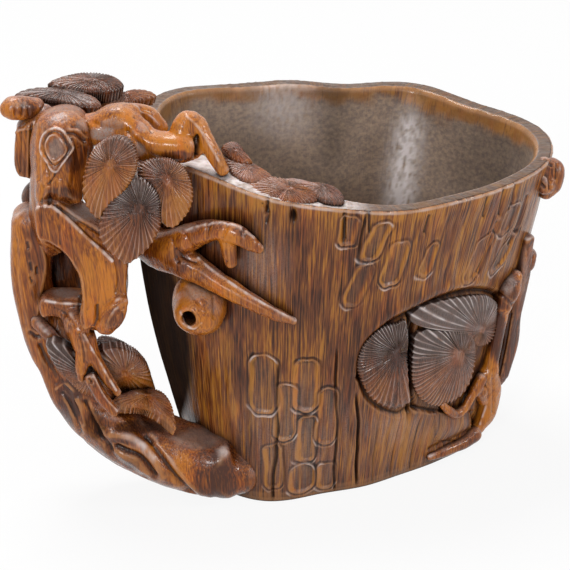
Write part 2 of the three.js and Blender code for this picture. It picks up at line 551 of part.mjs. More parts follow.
// Seats each element against all earlier ones, and keeps its one main body.
const cup = new THREE.Group();
const seats = [];
function seat(name, solid, seatSolid, material) {
  const carved = seats.reduce((a, b) => a.subtract(b), solid);
  const [main] = carved.decompose().sort((a, b) => b.volume() - a.volume());
  const mesh = new THREE.Mesh(geometryOf(main), material);
  mesh.name = name;
  cup.add(mesh);
  seats.push(seatSolid);
}

seat("cup_body", cupBody(0), cupBody(seatGap), materials.bark);
for (const [name, make] of Object.entries(branches)) {
  seat(name, make(0, true), make(seatGap), materials.branch);
}
for (const [name, fan] of Object.entries(fans)) {
  seat(name, needleFan(fan), needleFan(fan, seatGap), materials.needles);
}

export default cup;
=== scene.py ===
import math

import bpy
import numpy as np
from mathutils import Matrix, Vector


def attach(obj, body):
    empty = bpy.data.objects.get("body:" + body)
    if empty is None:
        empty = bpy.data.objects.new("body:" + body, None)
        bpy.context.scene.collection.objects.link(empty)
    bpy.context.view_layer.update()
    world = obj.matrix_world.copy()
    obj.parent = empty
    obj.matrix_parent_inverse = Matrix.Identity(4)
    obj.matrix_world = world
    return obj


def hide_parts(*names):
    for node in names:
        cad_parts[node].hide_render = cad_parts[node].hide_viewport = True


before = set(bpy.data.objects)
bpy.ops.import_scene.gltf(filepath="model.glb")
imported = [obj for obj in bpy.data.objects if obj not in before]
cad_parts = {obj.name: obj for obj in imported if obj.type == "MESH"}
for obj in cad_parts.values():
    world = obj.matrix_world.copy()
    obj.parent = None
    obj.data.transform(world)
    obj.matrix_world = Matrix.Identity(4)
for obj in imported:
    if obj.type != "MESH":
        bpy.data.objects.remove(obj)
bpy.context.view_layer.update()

# Sizes are in millimetres up to the last step of each mesh, which turns them into metres.
MM = 0.001
PI = math.pi

# The cup's wall, by the same plan as the solids. Each row has values at even steps round the cup,
# from the lip's side: shares of the radius or of the height, and millimetres.
TALL, ROUND = 93, 56
RIM = ROUND * np.array([
    1, 0.902, 0.866, 0.7, 0.723, 0.75, 0.902, 0.929, 0.982, 0.857, 0.782, 0.702, 0.729, 0.759, 0.848, 0.964,
])
FOOT = ROUND * np.array([
    0.804, 0.786, 0.679, 0.589, 0.554, 0.589, 0.661, 0.679, 0.661, 0.705, 0.696, 0.5625, 0.523, 0.518,
    0.589, 0.723,
])
HIGH = TALL * np.array([
    0.892, 0.903, 0.925, 0.941, 0.957, 0.973, 0.989, 1, 1, 0.978, 0.935, 0.903, 0.892, 0.892, 0.892, 0.892,
])
THICK = np.array([4.6, 4.6, 4.6, 4.6, 4.6, 4.6, 4.6, 5, 7, 10, 9.5, 7, 5, 4.6, 4.6, 4.6])
BULGE = np.array([0, 0, 0, 0, 0, 0, 1, 3, 4.5, 1.5, 0, 0, 0, 0, 0, 0])
FLARE = 1.1
# The middle of the rim, from the middle of the foot.
MIDDLE_X, MIDDLE_Y = 3, -2
# The handle's trunk, from the middle of the foot.
REACH = RIM[8] + 25


def through(a, b, c, d, t):
    """The curve from b to c on its way from a to d."""
    return b + 0.5 * t * (c - a + t * (2 * a - 5 * b + 4 * c - d + t * (3 * (b - c) + d - a)))


def around(values, angle):
    n = len(values)
    at = np.asarray(angle, float) / (2 * PI) * n % n
    i = np.floor(at).astype(int)
    return through(*(values[(i + k) % n] for k in (-1, 0, 1, 2)), at - i)


def wall_at(angle, share, out=0.0):
    """The point of the outer wall at a bearing and a share of its height, moved out by out."""
    foot = around(FOOT, angle)
    radius = foot + (around(RIM, angle) - foot) * np.power(np.maximum(share, 0), FLARE)
    radius = radius + around(BULGE, angle) * np.sin(PI * share) + out
    x, y = MIDDLE_X * share + radius * np.cos(angle), MIDDLE_Y * share + radius * np.sin(angle)
    return np.stack([x, y, around(HIGH, angle) * share], -1)


def wall(deg, share, out=0.0):
    return wall_at(math.radians(deg), share, out)


def wall_normal(deg, share):
    a, e = math.radians(deg), 0.01
    along = wall_at(a + e, share) - wall_at(a - e, share)
    up = wall_at(a, share + e) - wall_at(a, share - e)
    return unit(np.cross(along, up))


def trunk(x, y, share):
    """A point of the handle: x and y from its trunk, and a share of the cup's height."""
    return np.array([x - REACH, y, share * TALL], float)


def unit(v):
    v = np.asarray(v, float)
    return v / np.linalg.norm(v)


# Noise, meshes and marks

LATTICE = np.random.default_rng(11).random((32, 32, 32)).astype(np.float32)


def noise(p, size, octaves=1):
    """Smooth noise from -1 to 1; size is the grain along each axis."""
    q = np.asarray(p, float) / np.asarray(size, float)
    total, norm, amp = 0, 0, 1.0
    for _ in range(octaves):
        i = np.floor(q).astype(int)
        f = q - i
        f = f * f * (3 - 2 * f)
        v = 0
        for dx in (0, 1):
            for dy in (0, 1):
                for dz in (0, 1):
                    w = (f[..., 0] if dx else 1 - f[..., 0]) * (f[..., 1] if dy else 1 - f[..., 1])
                    w = w * (f[..., 2] if dz else 1 - f[..., 2])
                    v = v + w * LATTICE[(i[..., 0] + dx) % 32, (i[..., 1] + dy) % 32, (i[..., 2] + dz) % 32]
        total = total + amp * (2 * v - 1)
        norm += amp
        amp *= 0.5
        q = q * 2.03 + 9.7
    return total / norm


def bell(x, width):
    return np.exp(-((x / width) ** 2))


def smooth(x, lo, hi):
    t = np.clip((x - lo) / (hi - lo), 0, 1)
    return t * t * (3 - 2 * t)


# The view of the photograph: where a point is seen, and the point that is seen at a given depth

SWING, PITCH = math.radians(-20), math.radians(25)
RIGHT = np.array([math.cos(SWING), math.sin(SWING), 0])
FRONT = np.array([math.sin(SWING), -math.cos(SWING), 0])
BACK = FRONT * math.cos(PITCH) + np.array([0, 0, math.sin(PITCH)])
ABOVE = np.cross(BACK, RIGHT)
TARGET = np.array([-8.0, 10.0, 42.0])
DISTANCE = 650
EYE = TARGET + DISTANCE * BACK
# In dots of the photograph: its side, its middle, and the lens. DOT is a dot's size at the target.
PICTURE = 570
CENTRE = PICTURE / 2
FOCAL = 2437
DOT = DISTANCE / FOCAL


def seen(p):
    """Where points are seen in the photograph, in dots from its upper left corner."""
    q = np.asarray(p, float) - EYE
    depth = -(q @ BACK)
    return CENTRE + FOCAL * (q @ RIGHT) / depth, CENTRE - FOCAL * (q @ ABOVE) / depth


def ray(x, y):
    x, y = np.asarray(x, float), np.asarray(y, float)
    return -BACK + ((x - CENTRE) / FOCAL)[..., None] * RIGHT + ((CENTRE - y) / FOCAL)[..., None] * ABOVE


def spot(x, y, depth):
    """The point seen at x, y that lies depth millimetres in front of the target."""
    return EYE + ray(x, y) * (DISTANCE - depth)


def on_plane(x, y, point, normal):
    """The points of a plane that are seen at x, y."""
    r = ray(x, y)
    return EYE + r * (((point - EYE) @ normal) / (r @ normal))[..., None]


def curve(line, closed=False, each=6):
    """A smooth line through the points of line, with each steps from one to the next."""
    p = np.asarray(line, float)
    n = len(p)
    if n < 3:
        return p
    before, after = (p[-1:], p[:2]) if closed else (2 * p[:1] - p[1:2], 2 * p[-1:] - p[-2:-1])
    ring = np.concatenate([before, p, after])
    t = (np.arange(each) / each)[:, None]
    out = [through(*ring[k : k + 4], t) for k in range(n if closed else n - 1)]
    if not closed:
        out.append(p[-1:])
    return np.concatenate(out)


def off_line(x, y, line):
    """Distance to a line of points, in the line's own unit."""
    best = np.full(np.shape(x), 1e9)
    for a, b in zip(line[:-1], line[1:]):
        d = b - a
        t = np.clip(((x - a[0]) * d[0] + (y - a[1]) * d[1]) / (d @ d + 1e-12), 0, 1)
        best = np.minimum(best, (x - a[0] - t * d[0]) ** 2 + (y - a[1] - t * d[1]) ** 2)
    return np.sqrt(best)


def inside_of(x, y, ring):
    """Whether x, y lies inside a closed ring of points."""
    crossed = np.zeros(np.shape(x), bool)
    for a, b in zip(ring, np.roll(ring, -1, axis=0)):
        if a[1] != b[1]:
            crossed ^= ((a[1] > y) != (b[1] > y)) & (x < a[0] + (y - a[1]) * (b[0] - a[0]) / (b[1] - a[1]))
    return crossed


def stroke_lift(x, y, facing, strokes):
    """How far strokes raise the points seen at x, y."""
    lift = np.zeros(np.shape(x))
    for depth, width, line in strokes:
        path = curve(line)
        low, high = path.min(0) - 12, path.max(0) + 12
        near = (x > low[0]) & (x < high[0]) & (y > low[1]) & (y < high[1]) & (facing > 0)
        if near.any():
            lift[near] -= depth * bell(off_line(x[near], y[near], path) * DOT, width) * facing[near]
    return lift


def on_cup(x, y, out=0.0):
    """The point of the cup's outer wall seen at x, y, moved out by out; and the wall's normal there."""
    angle, turn = math.radians(-75), math.radians(100)
    share, rise = 0.5, 0.5
    steps = np.linspace(-1, 1, 61)
    for _ in range(4):
        a, s = np.meshgrid(angle + turn * steps, np.clip(share + rise * steps, 0, 1))
        px, py = seen(wall_at(a, s))
        hidden = np.cos(a) * FRONT[0] + np.sin(a) * FRONT[1] < -0.15
        k = np.argmin((px - x) ** 2 + (py - y) ** 2 + 1e6 * hidden)
        angle, share = a.flat[k], s.flat[k]
        turn, rise = turn / 15, rise / 15
    n = wall_normal(math.degrees(angle), share)
    return wall_at(angle, share) + out * n, n


def cut_lines(points, normal, marks, strokes, stains=()):
    """Carves lines and stains as they are seen from the front, with painted highlights on the narrow ridges
    and painted shade in the cuts.

    strokes: (depth, width, line), millimetres; a depth below 0 raises a ridge.
    stains: (mark, amount, x, y, half width, half height).
    """
    x, y = seen(points)
    facing = smooth(normal @ BACK, 0.05, 0.35)
    lift = stroke_lift(x, y, facing, strokes)
    narrow = [stroke for stroke in strokes if stroke[0] < 0 and stroke[1] < 0.6]
    broken = np.clip(0.5 + 1.6 * noise(points, (1.2, 1.2, 2), 2), 0, 1)
    # Painted highlights along the narrow ridges, and painted shade where the lines cut in.
    marks["painted_highlight"] = 0.7 * smooth(stroke_lift(x, y, facing, narrow), 0.1, 0.4) * broken
    marks["painted_shade_and_dark"] = marks["painted_shade_and_dark"] + 0.35 * smooth(-lift, 0.3, 1.0)
    for mark, amount, cx, cy, rx, ry in stains:
        far = np.hypot((x - cx) / rx, (y - cy) / ry) + 0.25 * noise(points, (1.5, 1.5, 1.5), 2)
        marks[mark] = np.clip(marks[mark] + amount * smooth(-far, -1.15, -0.6) * facing, -0.5, 1.2)
    return points + normal * lift[:, None]


def edges_of(faces):
    """All edges of the faces, both ways."""
    pairs = [np.stack([f, np.roll(f, -1, axis=1)], -1).reshape(-1, 2) for f in faces]
    e = np.concatenate(pairs)
    return np.concatenate([e, e[:, ::-1]])


def spread(points, edges, rounds, keep=0.0):
    """Averages every point with its neighbours."""
    n = len(points)
    near = np.bincount(edges[:, 0], minlength=n).astype(float)
    near[near == 0] = 1
    for _ in range(rounds):
        mean = [np.bincount(edges[:, 0], weights=points[edges[:, 1], k], minlength=n) / near for k in range(3)]
        points = keep * points + (1 - keep) * np.stack(mean, -1)
    return points


def normals_of(points, faces):
    out = np.zeros_like(points)
    for f in faces:
        c = np.cross(points[f[:, 2]] - points[f[:, 0]], points[f[:, -1]] - points[f[:, 1]])
        for k in range(3):
            sums = (np.bincount(corner, weights=c[:, k], minlength=len(points)) for corner in f.T)
            out[:, k] += sum(sums)
    return out / (np.linalg.norm(out, axis=1, keepdims=True) + 1e-12)


def proud(points, faces, rounds):
    """How far each point stands out of its smoothed surroundings: ridges above 0, grooves below."""
    n = normals_of(points, faces)
    return ((points - spread(points, edges_of(faces), rounds)) * n).sum(-1)


def band(low, high, count):
    """Quads between two rings of count points each."""
    i = np.arange(count)
    j = (i + 1) % count
    return np.stack([low * count + i, low * count + j, high * count + j, high * count + i], -1)


def cap(ring, centre, count):
    """Triangles from a ring of count points to the point numbered centre."""
    i = np.arange(count)
    return np.stack([ring * count + i, ring * count + (i + 1) % count, np.full(count, centre)], -1)


def add_object(name, points, faces, marks, material, stands_for):
    """A piece of the scene from points in millimetres; it stands for nodes of the part."""
    mesh = bpy.data.meshes.new(name)
    mesh.vertices.add(len(points))
    mesh.vertices.foreach_set("co", (points * MM).astype(np.float32).ravel())
    corners = np.concatenate([f.astype(np.int32).ravel() for f in faces])
    sizes = np.concatenate([np.full(len(f), f.shape[1], np.int32) for f in faces])
    mesh.loops.add(len(corners))
    mesh.loops.foreach_set("vertex_index", corners)
    mesh.polygons.add(len(sizes))
    mesh.polygons.foreach_set("loop_start", np.concatenate([[0], np.cumsum(sizes)[:-1]]).astype(np.int32))
    mesh.polygons.foreach_set("use_smooth", np.ones(len(sizes), bool))
    for key, values in marks.items():
        layer = mesh.attributes.new(key, "FLOAT", "POINT")
        layer.data.foreach_set("value", np.broadcast_to(values, len(points)).astype(np.float32))
    mesh.update(calc_edges=True)
    mesh.validate()
    piece = bpy.data.objects.new(name, mesh)
    bpy.context.scene.collection.objects.link(piece)
    mesh.materials.append(material)
    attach(piece, "root")
    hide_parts(*stands_for)


# Materials


class Graph:
    """Short names for building the nodes of a material or of the world."""

    def __init__(self, holder):
        holder.use_nodes = True
        self.holder = holder
        self.tree = holder.node_tree
        self.tree.nodes.clear()

    def node(self, kind, inputs=None, **settings):
        made = self.tree.nodes.new(kind)
        for key, value in settings.items():
            setattr(made, key, value)
        for key, value in (inputs or {}).items():
            if isinstance(value, bpy.types.NodeSocket):
                self.tree.links.new(value, made.inputs[key])
            else:
                made.inputs[key].default_value = value
        return made

    def math(self, op, a, b):
        return self.node("ShaderNodeMath", {0: a, 1: b}, operation=op).outputs[0]

    def times(self, a, b):
        return self.math("MULTIPLY", a, b)

    def total(self, first, *more):
        for term in more:
            first = self.math("ADD", first, term)
        return first

    def span(self, value, lo, hi, to_lo=0.0, to_hi=1.0):
        inputs = {"Value": value, "From Min": lo, "From Max": hi, "To Min": to_lo, "To Max": to_hi}
        return self.node("ShaderNodeMapRange", inputs, interpolation_type="SMOOTHSTEP").outputs[0]

    def mix(self, share, a, b, blend="MIX"):
        a, b = (c if isinstance(c, bpy.types.NodeSocket) else (*c, 1) for c in (a, b))
        inputs = {0: share, 6: a, 7: b}
        return self.node("ShaderNodeMix", inputs, data_type="RGBA", blend_type=blend).outputs[2]

    def ramp(self, value, *stops):
        """Colours by (position, colour) stops in rising order."""
        made = self.node("ShaderNodeValToRGB", {0: value})
        elements = made.color_ramp.elements
        for position, _ in stops[1:-1]:
            elements.new(position)
        for element, (position, colour) in zip(elements, stops):
            element.position = position
            element.color = (*colour, 1)
        return made.outputs[0]

    def mark(self, key):
        return self.node("ShaderNodeAttribute", attribute_name=key).outputs["Fac"]

    def noise(self, vector, scale, detail, rough):
        inputs = {"Vector": vector, "Scale": scale, "Detail": detail, "Roughness": rough}
        return self.node("ShaderNodeTexNoise", inputs).outputs["Fac"]

    def direct(self):
        """1 on the rays that show the background: camera, glossy and transmission rays."""
        rays = self.node("ShaderNodeLightPath").outputs
        shown = self.math("MAXIMUM", rays["Is Camera Ray"], rays["Is Glossy Ray"])
        return self.math("MAXIMUM", shown, rays["Is Transmission Ray"])


def horn(name, dark, mid, light, ridge, grey, dust, gloss, vivid, shine=0.3, turned=False):
    """Polished horn: upright fibres all through it, darker in the cuts as painted shade and paler on the
    ridges as wear and painted highlight.

    With turned, the fibres follow the cup's wall.
    """
    g = Graph(bpy.data.materials.new(name))
    place = g.node("ShaderNodeTexCoord").outputs["Object"]
    split = g.node("ShaderNodeSeparateXYZ", {0: place})
    x, y, z = (g.times(split.outputs[k], 1000.0) for k in range(3))
    if turned:
        beside = g.math("SUBTRACT", x, g.times(z, 0.034))
        behind = g.total(y, g.times(z, 0.023))
        axis = g.node("ShaderNodeCombineXYZ", {0: beside, 1: behind}).outputs[0]
        bearing = g.node("ShaderNodeVectorMath", {0: axis}, operation="NORMALIZE").outputs[0]
        split = g.node("ShaderNodeSeparateXYZ", {0: bearing})
        fx, fy = (g.times(split.outputs[k], 42.0) for k in range(2))
    else:
        lean = g.math("SUBTRACT", 1.0, g.times(z, 0.0015))
        fx, fy = g.times(x, lean), g.times(y, lean)

    def fibres(across, length, detail, rough=0.6):
        vector = g.node("ShaderNodeCombineXYZ", {0: fx, 1: fy, 2: g.times(z, across / length)})
        return g.math("SUBTRACT", g.noise(vector.outputs[0], 1 / across, detail, rough), 0.5)

    fine = fibres(0.34, 11.0, 2.0)
    dashes = fibres(0.42, 4.5, 1.0, 0.5)
    bands = fibres(1.6, 22.0, 2.0, 0.65)
    wide = fibres(7.0, 16.0, 2.0)
    hue = fibres(3.1, 20.0, 2.0)
    weave = g.total(
        g.times(fine, 1.7 * vivid), g.times(bands, 0.8 * vivid), g.times(dashes, 0.9 * vivid),
        g.times(wide, 0.6), g.mark("tone"),
    )
    colour = g.ramp(weave, (0.22, dark), (0.5, mid), (0.8, light))
    colour = g.mix(g.times(g.span(dashes, 0.1, 0.2), 0.5 * vivid), colour, dark)
    colour = g.mix(g.span(hue, 0.0, 0.2, 0.0, 0.5), colour, (1.15, 0.85, 0.85), "MULTIPLY")
    colour = g.mix(g.span(hue, 0.0, -0.2, 0.0, 0.4), colour, (0.92, 1.05, 0.9), "MULTIPLY")

    fine_cut, broad_cut = g.mark("fine"), g.mark("broad")
    # Paler towards the ridges, as wear and painted highlight; darker in the cuts, as painted shade.
    colour = g.mix(g.span(fine_cut, 0.02, 0.14, 0.0, 0.6), colour, ridge)
    colour = g.mix(g.span(broad_cut, 0.15, 0.9, 0.0, 0.3), colour, ridge)
    cuts = g.math("MAXIMUM", g.span(fine_cut, -0.03, -0.15), g.span(broad_cut, -0.15, -0.7, 0.0, 0.7))
    colour = g.mix(g.times(cuts, 0.8), colour, [c * 0.3 for c in dark])

    vector = g.node("ShaderNodeCombineXYZ", {0: x, 1: y, 2: g.times(z, 1.3)}).outputs[0]
    dim = [c * k for c, k in zip(grey, (0.72, 0.7, 0.72))]
    pale = [c * k for c, k in zip(grey, (1.35, 1.3, 1.15))]
    greys = g.ramp(g.noise(vector, 0.8, 3.0, 0.6), (0.36, dim), (0.66, pale))
    colour = g.mix(g.mark("grey"), colour, greys)
    specks = g.noise(place, 2600.0, 2.0, 0.7)
    # Dust and painted sheen, broken into specks.
    colour = g.mix(g.times(g.mark("dust"), g.span(specks, 0.3, 0.6, 0.35, 1.0)), colour, dust)
    # Near white: painted highlights.
    colour = g.mix(g.mark("painted_highlight"), colour, (0.88, 0.82, 0.82))
    # Near black: painted shade, and darker tone in places.
    colour = g.mix(g.mark("painted_shade_and_dark"), colour, (0.014, 0.0105, 0.0095))
    # Ambient occlusion darkens the colour in hollows and between pieces: partly patina, partly painted shade.
    hollow = g.node("ShaderNodeAmbientOcclusion", {"Distance": 0.004}, samples=8).outputs["AO"]
    colour = g.mix(g.span(hollow, 0.2, 0.85, 0.9, 0.0), colour, [c * 0.25 for c in dark])

    rough = g.total(g.times(fine, 0.35), gloss, g.times(g.mark("grey"), 0.12), g.times(g.mark("dust"), 0.35))
    height = g.total(fine, g.times(dashes, 0.7))
    bump = g.node("ShaderNodeBump", {"Strength": 0.7, "Distance": 0.00016, "Height": height})
    # Where the colour is darkened towards black, gloss and coat are taken away as well, so that painted shade
    # stays dark.
    undarkened = g.span(g.mark("painted_shade_and_dark"), 0.0, 0.9, 1.0, 0.0)
    inputs = {
        "Base Color": colour, "Roughness": rough, "Normal": bump.outputs[0], "IOR": 1.54,
        "Specular IOR Level": g.times(undarkened, shine),
        "Subsurface Weight": 0.05, "Subsurface Radius": (1.0, 0.35, 0.1), "Subsurface Scale": 0.0012,
        "Coat Weight": g.span(g.mark("painted_shade_and_dark"), 0.0, 0.7, 0.2, 0.0), "Coat Roughness": 0.1,
    }
    shader = g.node("ShaderNodeBsdfPrincipled", inputs)
    g.node("ShaderNodeOutputMaterial", {0: shader.outputs[0]})
    return g.holder


BARK = horn(
    "horn_bark", (0.042, 0.011, 0.004), (0.165, 0.048, 0.013), (0.42, 0.165, 0.02), (0.42, 0.19, 0.07),
    (0.3, 0.225, 0.175),
    dust=(0.5, 0.4, 0.36), gloss=0.3, vivid=0.75, shine=0.2, turned=True,
)
BRANCH = horn(
    "horn_branch", (0.07, 0.016, 0.004), (0.24, 0.06, 0.008), (0.52, 0.165, 0.01), (0.52, 0.22, 0.07),
    (0.22, 0.16, 0.14),
    dust=(0.42, 0.32, 0.28), gloss=0.22, vivid=0.6, shine=0.26,
)
NEEDLES = horn(
    "horn_needles", (0.045, 0.011, 0.003), (0.2, 0.055, 0.012), (0.4, 0.14, 0.02), (0.5, 0.28, 0.18),
    (0.13, 0.1, 0.09),
    dust=(0.42, 0.31, 0.28), gloss=0.27, vivid=0.4,
)

# The cup's body: outer wall with bark scales and cracks, broad rim, hollow bowl

# Bark scales: angle in degrees, share of the height, half width, half length, lean in degrees.
SCALES = [
    (-136, 0.40, 3.4, 8.7, 0.5), (-128, 0.31, 2.5, 8.2, 1.0), (-121, 0.40, 3.0, 7.9, 0.5),
    (-112, 0.29, 2.5, 8.4, 0.0),
    (-120, 0.21, 2.4, 6.8, 1.0), (-132, 0.12, 2.2, 6.6, -0.5), (-121, 0.07, 2.9, 4.7, 0.0),
    (-111, 0.065, 2.3, 4.0, 0.0),
    (-108, 0.93, 2.2, 4.6, 1.5), (-98, 0.9, 2.3, 6.0, 5.5), (-90, 0.82, 2.7, 6.5, 3.5),
    (-103, 0.75, 2.3, 6.1, 5.5),
    (-76, 0.81, 1.9, 4.4, 3.0), (-53, 0.76, 2.5, 6.7, 4.0), (-40, 0.74, 2.6, 4.9, 5.5),
    (-43, 0.87, 2.4, 4.2, 2.0),
    (-8, 0.74, 2.6, 6.5, 1.0), (0, 0.63, 2.6, 6.8, 0.0), (9, 0.73, 2.5, 6.2, -1.0), (18, 0.36, 2.7, 7.5, 0.0),
    (26, 0.25, 2.6, 7.0, 0.0), (35, 0.35, 2.6, 7.4, 0.0), (44, 0.8, 2.6, 6.6, -2.0),
    (56, 0.72, 2.4, 6.4, -2.0),
    (60, 0.2, 2.6, 7.0, 0.5), (72, 0.3, 2.6, 7.2, 0.0), (84, 0.17, 2.6, 6.8, 0.0), (70, 0.85, 2.5, 6.0, -2.0),
]
# Cracks: angle and share at the top, then at the bottom, depth, width.
CRACKS = [
    (-131, 0.48, -132, 0.0, 0.8, 0.42), (-109.5, 0.53, -106.5, 0.0, 0.7, 0.4),
    (-99.5, 0.36, -95, 0.03, 1.0, 0.45),
    (-148, 0.14, -146.5, 0.0, 1.1, 0.5), (-109.5, 1.0, -110, 0.7, 0.35, 0.4),
    (-101.8, 1.0, -104, 0.86, 0.6, 0.4),
    (-80, 0.64, -70, 0.24, 1.5, 0.95), (-140, 0.52, -141, 0.2, 0.3, 0.5), (-63, 0.2, -62, 0.0, 0.4, 0.4),
    (-75, 0.24, -75, 0.02, 0.35, 0.4), (-88, 0.25, -86, 0.0, 0.3, 0.35), (22, 0.9, 24, 0.5, 0.5, 0.5),
    (95, 0.4, 94, 0.0, 0.8, 0.45), (50, 0.5, 51, 0.0, 0.6, 0.45), (110, 0.35, 108, 0.0, 0.5, 0.4),
]
# The hollow that the wall's fans lie in, and the lines cut round it, as they are seen from the front.
HOLLOW = [
    (359, 378), (362, 356), (371, 340), (384, 328), (399, 318), (414, 311), (430, 303), (450, 295),
    (470, 290), (487, 290), (499, 295), (507, 308), (506, 330), (496, 350), (482, 370), (474, 396),
    (456, 410), (436, 412), (412, 409), (398, 415), (380, 409), (366, 397),
]
WALL_STROKES = [
    (1.0, 0.7, HOLLOW[:12]), (0.7, 0.6, HOLLOW[17:] + HOLLOW[:1]),
    (-0.35, 1.2, [(352, 372), (358, 346), (378, 322), (412, 303), (450, 286), (488, 281)]),
    (1.3, 0.6, [(418, 312), (413, 330), (411, 360), (412, 388), (416, 408)]),
    (-0.4, 0.5, [(412, 314), (408, 330)]),
    (0.5, 0.5, [(425, 318), (421, 332), (419, 345)]), (0.6, 0.4, [(344, 214), (345, 238)]),
    (0.6, 0.4, [(369, 213), (370, 232)]),
    (-1.3, 3.2, [(447, 428), (458, 424)]), (0.5, 0.6, [(430, 449), (446, 441), (466, 430)]),
    (0.8, 0.5, [(472, 412), (474, 430)]), (0.6, 0.5, [(430, 216), (425, 232)]),
    (0.5, 0.5, [(262, 204), (268, 212), (266, 222)]),
    (0.9, 0.5, [(267, 202), (266, 212)]), (0.7, 0.45, [(505, 190), (500, 214)]),
    (0.6, 0.45, [(517, 184), (512, 206)]),
    (0.7, 0.5, [(528, 196), (519, 224), (510, 244)]), (0.6, 0.4, [(488, 198), (484, 216)]),
    (0.6, 0.5, [(498, 222), (488, 250), (478, 272)]),
]


# Broad patches of tone, and broad patches of painted sheen, as they are seen from the front: amount, centre,
# half width and height.
TONES = [
    (0.12, 215, 400, 26, 80), (-0.07, 270, 250, 60, 40), (-0.04, 330, 330, 40, 60), (0.08, 440, 240, 70, 60),
    (-0.06, 360, 300, 40, 60), (0.12, 400, 440, 50, 30), (0.1, 230, 200, 45, 20), (-0.18, 205, 250, 30, 50),
    (-0.08, 450, 300, 60, 12),
]
SHEENS = [(0.3, 395, 428, 40, 20), (0.25, 262, 265, 30, 45), (0.2, 300, 440, 90, 60), (0.2, 440, 425, 30, 16)]


def patch(x, y, cx, cy, rx, ry):
    return smooth(-np.hypot((x - cx) / rx, (y - cy) / ry), -1.3, -0.3)


